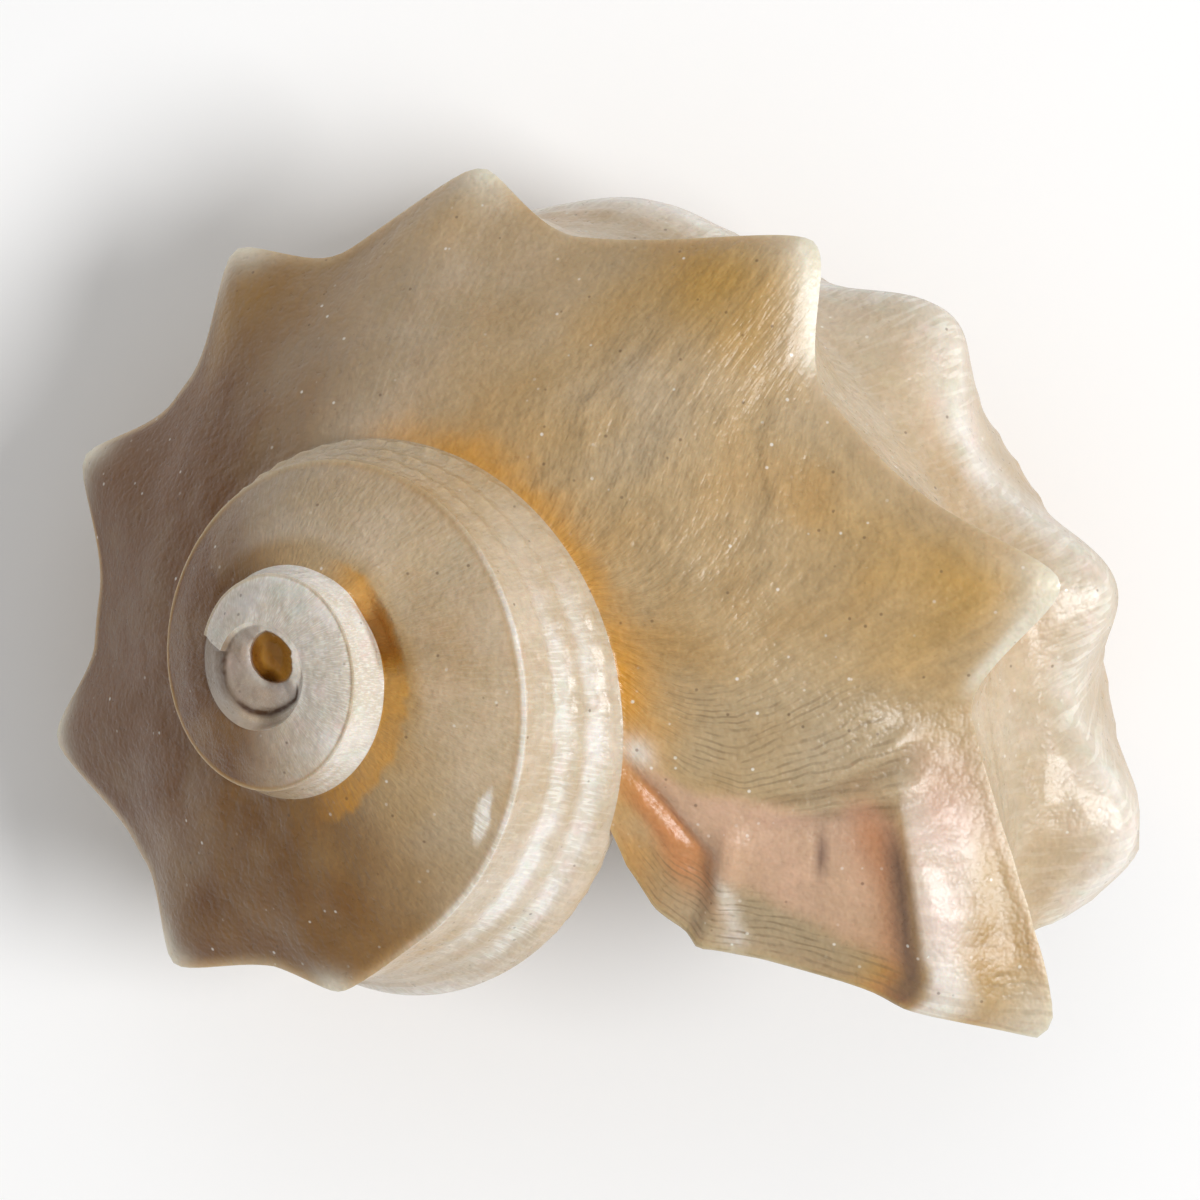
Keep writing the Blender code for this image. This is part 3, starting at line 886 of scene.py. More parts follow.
    def pearl(self, z: Zones) -> np.ndarray:
        """Nacre of the first whorl, the walls, the lip's flank and one chip; the walls' two bands are
        painted glints, the walls are painted paler on the lit side, and a painted highlight runs along the
        lit part of the shoulder.

        Args:
            z: the shared regions.

        Returns:
            The mask, not yet clipped.
        """
        # Painted light: the walls are paler on the side facing the light, and the two bright bands on the
        # middle wall are painted glints.
        lit = self.lit_azimuth.of(z.azimuth)
        bands = np.maximum(self.band_a.of(z.s), self.band_b.of(z.s)) * self.band_azimuth.of(z.azimuth)
        pale = 0.14 + 0.22 * lit + 0.95 * bands * (0.75 + 0.5 * z.rough)
        milky = (self.milky_azimuth.of(z.azimuth) + self.milky_before.of(z.azimuth)) * ease(0.15, 0.35, z.s)
        corner = hump(z.at + 12, 3.0) * hump(z.s - 0.04, 0.05)
        crest = hump(z.s - z.groove - 0.04, 0.03) * window(z.at, 3, 11, 2)
        ahead = z.at - self.chip_at
        chip = hump(ahead, 10) * hump(z.s - self.chip_s - 0.004 * ahead, 0.07)
        return (z.wall * (0.22 * z.body + pale * z.middle + z.first) + z.first * z.ramp
                + 0.2 * milky * z.middle * z.ramp + 0.16 * hump(z.at + 113, 14) * z.ramp
                + 0.6 * hump(z.s - 2.0, 0.16) * z.body
                # Painted highlight along the shoulder, mostly on the side facing the light.
                + 0.7 * hump(z.s - 0.995, 0.02) * z.middle * (0.1 + 0.9 * lit)
                + 0.85 * z.flank + 0.7 * corner + 0.7 * crest
                + np.clip(3.2 * (chip + 0.45 * z.rough - 0.5), 0, 1))

    def rose(self, z: Zones) -> np.ndarray:
        """Pink of the flat behind the lip, fading onto its flank.

        Args:
            z: the shared regions.

        Returns:
            The mask, not yet clipped.
        """
        flat = z.new_lip * window(z.s, z.groove, 0.72, 0.03) * (1 - z.lip_edge)
        return (0.75 * flat * (0.5 + 0.8 * z.blotch) + 0.4 * z.flank * (1 - ease(-4, 4, z.at))
                + 0.5 * window(z.at, -20, -12, 3) * window(z.s, 0.80, 0.97, 0.04))

    def orange(self, z: Zones) -> np.ndarray:
        """Orange along the lip's groove, the patch beside the ridge and the ridge's foot.

        Args:
            z: the shared regions.

        Returns:
            The mask, not yet clipped.
        """
        inside = window(z.s, z.groove - 0.15, z.groove + 0.02, 0.045) * window(z.at, -10, 7, 4)
        foot = hump(z.s - z.ridge + 0.07, 0.03) * window(z.at, -6, 8, 3)
        return (inside * (0.45 + 0.5 * z.blotch + 0.25 * z.rough)
                + 0.62 * self.patch_at.of(z.at) * self.patch_s.of(z.s) + 0.4 * foot)

    def plum(self, z: Zones) -> np.ndarray:
        """Painted shade under the lip's ridge, darker in the scar, and a faint lilac on the first whorl
        round the pit.

        Args:
            z: the shared regions.

        Returns:
            The mask, not yet clipped.
        """
        # Painted shade on the side of the ridge turned from the light.
        under = hump(z.s - z.ridge + 0.035, 0.025) * (1 - ease(-0.015, 0.0, z.s - z.ridge))
        scar = hump(z.at - self.carving.scar_at, 2.8) * hump(z.s - self.carving.scar_s, 0.008)
        return (0.75 * under * window(z.at, -10, 8, 3) + 0.8 * scar
                + 0.16 * z.first * z.ramp * (1 - ease(0.7, 0.95, z.s)))

    def grey(self, z: Zones) -> np.ndarray:
        """Grey-green of the lip's edge, of the older lips and of the ramp before them.

        Args:
            z: the shared regions.

        Returns:
            The mask, not yet clipped.
        """
        return (0.8 * self.edge(z) + 0.45 * self.old(z) + 0.2 * z.lobe
                + 0.3 * self.grey_span.of(z.at) * z.ramp * z.blotch)

    def line(self, z: Zones) -> np.ndarray:
        """Where dark growth lines are drawn."""
        return 0.65 * self.edge(z) + 0.6 * self.old(z) + 0.3 * z.lobe

    def edge(self, z: Zones) -> np.ndarray:
        """The ribbed edge of the lip on the ramp."""
        return z.lip_edge * window(z.s, 0.1, 0.74, 0.04)

    def old(self, z: Zones) -> np.ndarray:
        """The ribbed strip between the older lips and the last one."""
        return self.old_lines.of(z.at) * window(z.s, 0.15, 0.78, 0.08) * (1 - z.new_lip)

    def dirt(self, z: Zones) -> np.ndarray:
        """Darker inside the umbilicus, and painted shade along the seam on the side turned from the light.
        """
        # Painted shade along the seam on the side turned from the light.
        seam = hump(z.s, 0.03) * self.shaded_seam.of(z.azimuth) * z.middle
        return 0.25 * ease(4.0, 4.5, z.s) + 0.4 * seam

    def rib(self, z: Zones) -> np.ndarray:
        """How strongly the growth lines show."""
        on_ramp = z.ramp * (0.15 + 0.85 * self.rib_span.of(z.at) + 0.25 * z.middle)
        return (on_ramp + 0.25 * z.wall) * (1 - z.first)

    def masks(self, growth: np.ndarray, s: np.ndarray) -> Masks:
        """Painted masks of the outside.

        Args:
            growth: growth in turns.
            s: place round the section.

        Returns:
            Each mask from 0 to 1.
        """
        z = self.zones(growth, s)
        painted = {
            Mask.AMBER: self.amber(z), Mask.OCHRE: self.ochre(z), Mask.UMBER_AND_SHADE: self.umber(z),
            Mask.PEARL_AND_GLINT: self.pearl(z), Mask.CHALK_AND_HIGHLIGHT: self.chalk(z), Mask.ROSE: self.rose(z),
            Mask.PLUM_AND_SHADE: self.plum(z), Mask.DIRT_AND_SHADE: self.dirt(z), Mask.RIB: self.rib(z),
            Mask.ORANGE: self.orange(z), Mask.GREY: self.grey(z), Mask.LINE: self.line(z),
        }
        return {mask: np.clip(values, 0, 1) for mask, values in painted.items()}


class Kind(Enum):
    """Parts of the skin, which are joined into the one shell."""

    TOP = "ramp_and_wall"
    BASE = "base"
    UMBILICUS = "umbilicus"
    APERTURE = "aperture"
    PIT = "worn_apex"
    BREAK = "broken_end"
    NAVEL = "umbilicus_end"


@dataclass(frozen=True)
class Skin:
    """Grids of the whole surface, displaced and joined edge to edge."""

    form: ShellForm
    carving: Carving
    painting: Painting
    rings_in_turn: int = 300
    lip_share: float = 0.30
    lip_rings: int = 140
    ramp_columns: int = 54
    wall_columns: int = 27
    base_columns: int = 19
    umbilicus_columns: int = 9
    wall: float = 1.3
    lip_wall: float = 0.45
    inner_lip_wall: float = -0.25
    lip_rows: int = 3
    lip_tip_solid: float = 5.0
    lip_tip_level: float = -1.5
    cavity_turn: float = 0.40
    cavity_start: float = 0.012
    cavity_rings: int = 26
    cavity_end: Numbers = (0.85, 0.5, 0.0)
    pit_middle: Numbers = (2.2, 0.5)
    pit_level: float = -2.8
    hole_depth: float = 0.8
    curl_level: float = -2.0
    curl_slope: float = 0.33
    curl_from: float = 95.0
    curl_to: float = 318.0
    curl_angle: Numbers = (0, 45, 90, 130, 180, 225, 250, 270, 300, 318, 340, 360)
    curl_inner: Numbers = (0.95, 1.15, 1.25, 1.15, 0.98, 1.0, 1.1, 1.17, 1.3, 1.2, 1.05, 0.95)
    curl_outer: Numbers = (1.05, 1.25, 1.45, 1.75, 2.2, 2.6, 2.75, 2.65, 2.2, 1.6, 1.2, 1.05)
    deep_angle: Span = Span(150.0, 262.0, 25.0)
    beak_gap: float = 1.0

    @property
    def last(self) -> int:
        """Index of the ring at the lip."""
        return int(round(self.form.turns * self.rings_in_turn))

    def ring_growth(self) -> np.ndarray:
        """Growth of each ring at the suture, closer together near the lip.

        Returns:
            Growth in turns, the same each turn but for whole turns.
        """
        count, lip = self.rings_in_turn, self.form.lip_growth
        knots = [0, count - self.lip_rings, count]
        turn = np.interp(np.arange(count + 1), knots, [lip - 1, lip - self.lip_share, lip])
        kernel = np.ones(21) / 21
        step = np.diff(turn)
        smooth = np.convolve(np.concatenate([step[-10:], step, step[:10]]), kernel, "valid")
        turn = lip - 1 + np.concatenate([[0], np.cumsum(smooth)]) / smooth.sum()
        ring = np.arange(self.last + 1) - (self.last - count)
        whole = np.floor(ring / count).astype(int)
        return turn[ring - whole * count] + whole

    def columns(self) -> tuple[np.ndarray, np.ndarray, np.ndarray]:
        """Places round the section of the columns.

        Returns:
            Places of the top's, the base's and the umbilicus' columns.
        """
        ramp = np.linspace(0, 1, self.ramp_columns + 1)
        ramp = ramp - 0.035 * np.sin(2 * math.pi * ramp)
        wall = np.linspace(1, 2, self.wall_columns + 1)
        edge = self.form.next_whorl_at
        return (np.concatenate([ramp, wall[1:]]), np.linspace(2, edge, self.base_columns + 1),
                np.linspace(edge, 5, self.umbilicus_columns + 1))

    def patch(self, rows: np.ndarray, s: np.ndarray) -> Surface:
        """One displaced grid of the outside.

        Args:
            rows: growth of the rings at the suture.
            s: places round the section.

        Returns:
            The grid with its masks.
        """
        row, place = np.broadcast_arrays(rows[:, None], s[None, :])
        growth = self.form.grown(row, place)
        points = self.form.outside(row, place)
        d_row = np.gradient(points, axis=0)
        d_s = np.gradient(points, axis=1)
        normal = np.cross(d_row, d_s)
        normal /= np.maximum(np.linalg.norm(normal, axis=-1, keepdims=True), 1e-9)
        points = points + normal * self.carving.height(row, growth, place)[..., None]
        lines = self.carving.phase(row, place) / TURN
        return Surface(points, lines, place, self.painting.masks(growth, place))

    def build(self) -> dict[Kind, Surface]:
        """All grids, with the seams between them made equal.

        Returns:
            One grid for each part of the skin.
        """
        rows, count, last = self.ring_growth(), self.rings_in_turn, self.last
        s_top, s_base, s_umb = self.columns()
        top, umbilicus = self.patch(rows, s_top), self.patch(rows, s_umb)
        base = self.patch(rows[last - count:], s_base)
        top.points[count:, 0] = top.points[:-count, -1]
        umbilicus.points[count:, -1] = umbilicus.points[:-count, 0]
        base.points[:, 0] = top.points[last - count:, -1]
        base.points[:, -1] = umbilicus.points[last - count:, 0]
        grids = {Kind.TOP: top, Kind.BASE: base, Kind.UMBILICUS: umbilicus}
        grids[Kind.APERTURE] = self.aperture(grids)
        grids[Kind.PIT] = self.pit(top)
        grids[Kind.BREAK] = self.fan(top.points[0], top, (1.0, 0.85, 0.6, 0.3, 0.0), np.zeros(3), 0.6)
        loop = np.concatenate([umbilicus.points[:count + 1, -1], umbilicus.points[0, 1:-1]])
        grids[Kind.NAVEL] = self.fan(loop, umbilicus, (1.0, 0.75, 0.5, 0.25, 0.0),
                                     np.array([0.0, 0.0, 0.1]), 0.0)
        return grids

    def fan(self, loop: np.ndarray, near: Surface, scales: Numbers, lift: np.ndarray,
            pearl: float) -> Surface:
        """A grid that closes a loop towards its middle.

        Args:
            loop: points of the edge.
            near: the grid that the edge belongs to.
            scales: size of each ring, from 1 to 0.
            lift: how far the middle is moved.
            pearl: how nacreous it is.

        Returns:
            The closing grid.
        """
        loop = np.concatenate([loop, loop[:1]])
        middle = loop[:-1].mean(axis=0) + lift
        points = np.stack([middle + (loop - middle) * scale for scale in scales])
        shape = points.shape[:2]
        masks = {mask: np.zeros(shape) for mask in Mask}
        masks[Mask.PEARL_AND_GLINT] += pearl
        # The closing grid is painted darker, less so where it is nacreous.
        masks[Mask.DIRT_AND_SHADE] += 0.5 - 0.4 * pearl
        growth = np.full(shape, near.growth[0, 0])
        across = np.broadcast_to(np.linspace(0, 1, shape[1])[None, :], shape)
        return Surface(points, growth, across.copy(), masks)

    def behind_lip(self, s: np.ndarray, inner: np.ndarray) -> np.ndarray:
        """First ring inside the lip, a thin wall away from the outside.

        Args:
            s: places round the section.
            inner: where the ring runs on the whorl before.

        Returns:
            Points in mm.
        """
        form, lip = self.form, self.form.lip_growth
        back, nudge_s, nudge = 0.004, 1e-3, 1e-4
        n = np.where(inner, lip - 1 - back, lip - back)
        s = np.clip(s, 0.012, 4.99)
        outside = form.outside(n, s)
        round_section = form.outside(n, s + nudge_s) - form.outside(n, s - nudge_s)
        forward = form.outside(n + nudge, s) - form.outside(n - nudge, s)
        normal = np.cross(round_section, forward)
        normal /= np.linalg.norm(normal, axis=-1, keepdims=True)
        level = form.along(form.shoulder_z, lip) + self.lip_tip_level
        inwards = form.place(form.tube_middle(lip)[0], level, form.azimuth_of(lip)) - outside
        inwards /= np.linalg.norm(inwards, axis=-1, keepdims=True)
        tip = np.where(inner, 0.0, hump(s - 1, 0.2))[:, None]
        normal = normal * (1 - tip) + inwards * tip * self.lip_tip_solid
        return outside + normal * np.where(inner, self.inner_lip_wall, self.lip_wall)[:, None]

    def hollow(self, s: np.ndarray, inner: np.ndarray) -> list[np.ndarray]:
        """Rings of the hollow, which follow the whorl inwards and close on its middle.

        Args:
            s: places round the section.
            inner: where the rings run on the whorl before.

        Returns:
            Points in mm of each ring.
        """
        form, lip = self.form, self.form.lip_growth
        angles = np.linspace(-math.pi, math.pi, 72, endpoint=False)
        steps = np.linspace(lip - self.cavity_turn - 0.05, lip + 0.05, 70)
        table = np.array([form.tube_radius(n, angles) for n in steps])
        middle_r, middle_z = form.tube_middle(lip)
        plain = np.where(inner, lip - 1, lip)
        r, z = form.section(plain, s, form.suture(plain - 1, 0.0), form.umbilical_suture(plain - 1), 0.0)
        start = np.unwrap(np.arctan2(z - middle_z, r - middle_r))
        even = start[0] + np.sign(start[-1] - start[0]) * 2 * math.pi * np.arange(len(s)) / len(s)
        ahead = np.interp(s, form.edge_s, form.edge_ahead) / TURN
        rings = []
        for ring in range(1, self.cavity_rings + 1 + len(self.cavity_end)):
            t = min(1.0, (ring / self.cavity_rings) ** 1.35)
            beyond = max(0, ring - self.cavity_rings)
            scale = (1.0, *self.cavity_end)[beyond]
            depth = self.cavity_start + (self.cavity_turn - self.cavity_start) * t + 0.008 * beyond
            angle = start * (1 - 0.6 * t) + even * 0.6 * t
            n = lip - depth + ahead * (1 - t) * ease(0, 0.3, 1 - t) * ~inner
            thick = self.wall * 1.12 * (0.6 + 0.4 * ease(0, 0.12, t))
            rho = np.empty(len(s))
            for i, x in enumerate(n):
                k = np.clip((x - steps[0]) / (steps[1] - steps[0]), 0, len(steps) - 1.001)
                low = table[int(k)]
                radius = low + (table[int(k) + 1] - low) * (k - int(k)) - thick
                smooth = sum(np.roll(radius, j) for j in range(-5, 6)) / 11
                rho[i] = scale * np.interp(angle[i], angles, np.minimum(radius, smooth), period=2 * math.pi)
            mr, mz = form.tube_middle(n)
            rings.append(form.place(mr + rho * np.cos(angle), mz + rho * np.sin(angle), form.azimuth_of(n)))
        return rings

    def aperture(self, grids: dict[Kind, Surface]) -> Surface:
        """The hollow, from the lip inwards to a blind end.

        Args:
            grids: the outside, whose last rings are the lip.

        Returns:
            The hollow's grid.
        """
        last = self.last
        s_top, s_base, s_umb = self.columns()
        s_out = np.concatenate([s_top, s_base[1:-1], s_umb])
        s_in = s_base[1:-1][::-1]
        s = np.concatenate([s_out, s_in])
        inner = np.arange(len(s)) >= len(s_out)
        top, base, umbilicus = (grids[kind].points for kind in (Kind.TOP, Kind.BASE, Kind.UMBILICUS))
        edge = np.concatenate([top[last], base[-1, 1:-1], umbilicus[last], base[0, 1:-1][::-1]])
        first = self.behind_lip(s, inner)
        points = np.stack([edge, 0.5 * (edge + first), first, *self.hollow(s, inner)])
        points = np.concatenate([points, points[:, :1]], axis=1)
        shape = points.shape[:2]
        masks = {mask: np.zeros(shape) for mask in Mask}
        masks[Mask.PEARL_AND_GLINT] += 1.0
        masks[Mask.PEARL_AND_GLINT][:self.lip_rows] = 0.3
        masks[Mask.ROSE][:self.lip_rows] = 0.4
        depth = np.broadcast_to(np.linspace(0, -self.cavity_turn, shape[0])[:, None], shape)
        across = np.broadcast_to(np.concatenate([s, s[:1]])[None, :], shape)
        return Surface(points, depth.copy(), across.copy(), masks)

    def pit_knots(self, edge: np.ndarray) -> tuple[np.ndarray, np.ndarray, list[np.ndarray]]:
        """Rings that give the pit its shape, from its rim to the bottom of the hole.

        Args:
            edge: points of the rim, on the shell's own offset.

        Returns:
            Angle in degrees round the pit, share of the curl at each angle, and the rings.
        """
        away = edge[:, :2] - np.array(self.pit_middle)
        reach = np.hypot(away[:, 0], away[:, 1])
        turned = np.unwrap(np.arctan2(away[:, 1], away[:, 0]))
        whole = math.radians(TURN - self.beak_gap) * np.sign(turned[-1] - turned[0])
        turned = turned[0] + (turned - turned[0]) * whole / (turned[-1] - turned[0])
        angle = np.degrees(turned) % TURN
        curl = ease(self.curl_from, self.curl_from + 40, angle)
        curl = curl * (1 - ease(self.curl_to - 14, self.curl_to, angle))
        inner = np.interp(angle, self.curl_angle, self.curl_inner)
        outer = np.interp(angle, self.curl_angle, self.curl_outer)
        outer = outer + 0.06 * cloudy(angle / 25, angle * 0, 41, 3)
        deep = self.deep_angle.of(angle)
        rim = edge[:, 2]
        foot = (rim - 0.04) * (1 - deep) + deep * self.pit_level
        bottom = np.full_like(rim, foot.mean() - self.hole_depth)
        stations = (
            (0.55 * reach + 0.45 * outer, 0.0, 0.3 * rim + 0.7 * foot),
            (outer + 0.05, 0.04, foot),
            (0.25 * inner + 0.75 * outer, 0.62, foot),
            (0.6 * inner + 0.4 * outer, 1.0, foot),
            (inner + 0.05, 0.72, foot - 0.05),
            (inner, 0.0, foot - self.hole_depth),
            (inner * 0.5, 0.0, bottom - 0.3),
            (inner * 0.0, 0.0, bottom - 0.4),
        )
        limit = reach
        knots = [edge]
        for radius, share, base in stations:
            limit = np.minimum(radius, limit * 0.95)
            x = self.pit_middle[0] + limit * np.cos(turned)
            y = self.pit_middle[1] + limit * np.sin(turned)
            crown = self.curl_level + self.curl_slope * (x - self.pit_middle[0])
            knots.append(np.stack([x, y, base + np.maximum(crown - base, 0.1) * share * curl], -1))
        return angle, curl, knots

    def pit_rings(self, knots: list[np.ndarray]) -> tuple[np.ndarray, np.ndarray]:
        """Rounded and roughened surface through the pit's rings.

        Args:
            knots: the rings that give the shape.

        Returns:
            Points by ring, and each ring's place among the knots.
        """
        rings, levels = [], []
        for k in range(len(knots) - 1):
            a, b, c, d = knots[max(k - 1, 0)], knots[k], knots[k + 1], knots[min(k + 2, len(knots) - 1)]
            for t in np.linspace(0, 1, 5)[:-1]:
                curve = 0.5 * (2 * b + (c - a) * t + (2 * a - 5 * b + 4 * c - d) * t**2
                               + (3 * b - a - 3 * c + d) * t**3)
                rings.append(0.5 * curve + 0.5 * (b + (c - b) * t))
                levels.append(k + t)
        points = np.stack([*rings, knots[-1]])
        level = np.array([*levels, len(knots) - 1])[:, None]
        rough = cloudy(points[..., 0] * 1.3, points[..., 1] * 1.3, 43, 3)
        points[1:-1, :, 2] += 0.09 * rough[1:-1] * np.minimum(1, level[1:-1] / 1.5)
        return points, level

    def pit_masks(self, level: np.ndarray, angle: np.ndarray, curl: np.ndarray) -> Masks:
        """Pigments of the pit: pale rim, violet curl with a dark line round its foot and a painted highlight
        along its inner edge, and the amber hole.

        Args:
            level: place among the pit's knots, 0 at the rim.
            angle: degrees round the pit.
            curl: share of the curl.

        Returns:
            Each mask from 0 to 1.
        """
        masks = {mask: np.zeros(level.shape) for mask in Mask}
        on_curl = window(level, 2.3, 5.6, 0.4) * curl
        bare = 1 - window(angle, 150, 285, 20)
        outer_part = 1 - ease(2.0, 2.7, level)
        # A dark line round the curl's foot.
        foot_line = 0.95 * hump(level - 2.1, 0.35) * window(angle, 235, 330, 15)
        foot_line = foot_line + 0.35 * hump(level - 2.1, 0.45)
        masks[Mask.PLUM_AND_SHADE] = np.clip(0.55 * on_curl + 0.16 * bare * (1 - curl), 0, 1)
        # The curl's inner edge is painted pale as a highlight.
        masks[Mask.PEARL_AND_GLINT] = np.clip((bare + 0.35 * (1 - bare)) * (1 - ease(5.6, 6.1, level)) + 0.25 * on_curl
                                    + 0.6 * hump(level - 5.0, 0.4) * curl, 0, 1)
        masks[Mask.DIRT_AND_SHADE] = np.clip(0.5 * window(angle, 150, 225, 20) * outer_part + foot_line * curl, 0, 1)
        masks[Mask.AMBER] = ease(5.7, 6.2, level)
        masks[Mask.UMBER_AND_SHADE] = np.clip(0.3 * ease(6.5, 7.5, level) + 0.45 * (1 - bare) * outer_part, 0, 1)
        return masks

    def pit(self, top: Surface) -> Surface:
        """The pit left where the first whorls broke off, with the curl of shell that stands in it.

        Args:
            top: the grid whose first turn the pit closes.

        Returns:
            The pit's grid.
        """
        offset = np.array(self.form.rest_offset)
        angle, curl, knots = self.pit_knots(top.points[:self.rings_in_turn + 1, 0] + offset)
        points, level = self.pit_rings(knots)
        points = np.concatenate([points, points[:, :1]], axis=1) - offset
        shape = points.shape[:2]
        level = np.broadcast_to(level, shape).copy()
        angle, curl = (np.broadcast_to(np.concatenate([v, v[:1]])[None, :], shape) for v in (angle, curl))
        growth = self.form.lip_growth - self.form.turns + angle / TURN
        return Surface(points, growth, level, self.pit_masks(level, angle, curl))


class NodePen:
    """Writes shader nodes one after another."""

    def __init__(self, material: bpy.types.Material) -> None:
        """Starts with a plain material.

        Args:
            material: its nodes are replaced.
        """
        material.use_nodes = True
        self.tree = material.node_tree
        self.tree.nodes.clear()
        self.column = 0

    def node(self, kind: str, **settings: object) -> bpy.types.Node:
        """Adds a node.

        Args:
            kind: its type.
            settings: values of its properties.

        Returns:
            The node.
        """
        node = self.tree.nodes.new(kind)
        self.column += 1
        node.location = (180 * (self.column % 40), -260 * (self.column // 40))
        for name, value in settings.items():
            setattr(node, name, value)
        return node

    def feed(self, socket: bpy.types.NodeSocket, value: object) -> None:
        """Links a socket to another, or gives it a plain value.

        Args:
            socket: the one that is fed.
            value: the other socket, or the value.
        """
        if isinstance(value, bpy.types.NodeSocket):
            self.tree.links.new(value, socket)
        else:
            socket.default_value = value

    def math(self, operation: str, *values: object) -> bpy.types.NodeSocket:
        """A calculation.

        Args:
            operation: which one.
            values: one to three values.

        Returns:
            The result.
        """
        node = self.node("ShaderNodeMath", operation=operation)
        for socket, value in zip(node.inputs, values):
            self.feed(socket, value)
        return node.outputs[0]

    def clamp(self, value: bpy.types.NodeSocket) -> bpy.types.NodeSocket:
        """A value kept between 0 and 1.

        Args:
            value: the value.

        Returns:
            The kept value.
        """
        node = self.node("ShaderNodeClamp")
        self.feed(node.inputs["Value"], value)
        return node.outputs[0]

    def mix(self, factor: object, a: object, b: object, blend: str = "MIX") -> bpy.types.NodeSocket:
        """Two colours mixed.

        Args:
            factor: share of the second.
            a: first colour.
            b: second colour.
            blend: how they are mixed.

        Returns:
            The mixed colour.
        """
        node = self.node("ShaderNodeMix", data_type="RGBA", blend_type=blend)
        self.feed(node.inputs["Factor"], factor)
        self.feed(node.inputs["A"], a)
        self.feed(node.inputs["B"], b)
        return node.outputs["Result"]

    def shaded(self, colour: object, strength: bpy.types.NodeSocket) -> bpy.types.NodeSocket:
        """A colour made darker or lighter.

        Args:
            colour: the colour.
            strength: what each of its channels is multiplied by.

        Returns:
            The new colour.
        """
        grey = self.node("ShaderNodeCombineColor")
        for socket in grey.inputs[:3]:
            self.feed(socket, strength)
        return self.mix(1.0, colour, grey.outputs[0], "MULTIPLY")

    def noise(self, vector: bpy.types.NodeSocket, scale: float, detail: float,
              roughness: float) -> bpy.types.NodeSocket:
        """A noise texture.

        Args:
            vector: where it is read.
            scale: cells per unit.
            detail: how many finer copies it has.
            roughness: how strong those are.

        Returns:
            Values of about 0 to 1, with 0.5 in the middle.
        """
        node = self.node("ShaderNodeTexNoise")
        self.feed(node.inputs["Vector"], vector)
        self.feed(node.inputs["Scale"], scale)
        self.feed(node.inputs["Detail"], detail)
        self.feed(node.inputs["Roughness"], roughness)
        return node.outputs["Fac"]

    def lines(self, growth: bpy.types.NodeSocket, scale: tuple[float, float], detail: float,
              roughness: float = 0.6) -> bpy.types.NodeSocket:
        """A noise texture drawn out along the growth lines.

        Args:
            growth: the growth coordinates.
            scale: cells per turn of growth and per unit of s.
            detail: how many finer copies it has.
            roughness: how strong those are.

        Returns:
            Values of about 0 to 1, with 0.5 in the middle.
        """
        node = self.node("ShaderNodeVectorMath", operation="MULTIPLY")
        self.feed(node.inputs[0], growth)
        self.feed(node.inputs[1], (*scale, 1.0))
        return self.noise(node.outputs[0], 1.0, detail, roughness)

    def dots(self, place: bpy.types.NodeSocket, scale: float, radius: Rise, channel: int,
             rare: Rise) -> bpy.types.NodeSocket:
        """Small round dots in a few cells of a cell texture.

        Args:
            place: where it is read.
            scale: cells per metre.
            radius: distances from a cell's middle where a dot starts and where it is full.
            channel: which channel of the cells' colours picks them.
            rare: values of that channel from which cells have a dot.

        Returns:
            1 on the dots, 0 elsewhere.
        """
        cells = self.node("ShaderNodeTexVoronoi")
        self.feed(cells.inputs["Vector"], place)
        self.feed(cells.inputs["Scale"], scale)
        picked = self.node("ShaderNodeSeparateColor")
        self.feed(picked.inputs[0], cells.outputs["Color"])
        return self.math("MULTIPLY", self.between(cells.outputs["Distance"], radius),
                         self.between(picked.outputs[channel], rare))

    def between(self, value: bpy.types.NodeSocket, span: Rise) -> bpy.types.NodeSocket:
        """A soft step.

        Args:
            value: the value.
            span: where it starts and ends.

        Returns:
            0 before the start, 1 after the end.
        """
        node = self.node("ShaderNodeMapRange", interpolation_type="SMOOTHSTEP")
        self.feed(node.inputs["Value"], value)
        self.feed(node.inputs["From Min"], span.start)
        self.feed(node.inputs["From Max"], span.end)
        return node.outputs["Result"]


def tone(red: int, green: int, blue: int) -> Colour:
    """A display colour as linear values.

    Args:
        red: 0 to 255.
        green: 0 to 255.
        blue: 0 to 255.

    Returns:
        Linear red, green and blue, and an alpha of 1.
    """
    def linear(value: int) -> float:
        """One channel."""
        v = value / 255
        return v / 12.92 if v <= 0.04045 else ((v + 0.055) / 1.055) ** 2.4
    return linear(red), linear(green), linear(blue), 1.0


@dataclass(frozen=True)
class Patterns:
    """Coordinates, masks and textures that the parts of the material share."""

    growth: bpy.types.NodeSocket
    place: bpy.types.NodeSocket
    mask: dict[Mask, bpy.types.NodeSocket]
    fine_lines: bpy.types.NodeSocket
    broad_lines: bpy.types.NodeSocket
    patches: bpy.types.NodeSocket
    grain: bpy.types.NodeSocket
    calm: bpy.types.NodeSocket


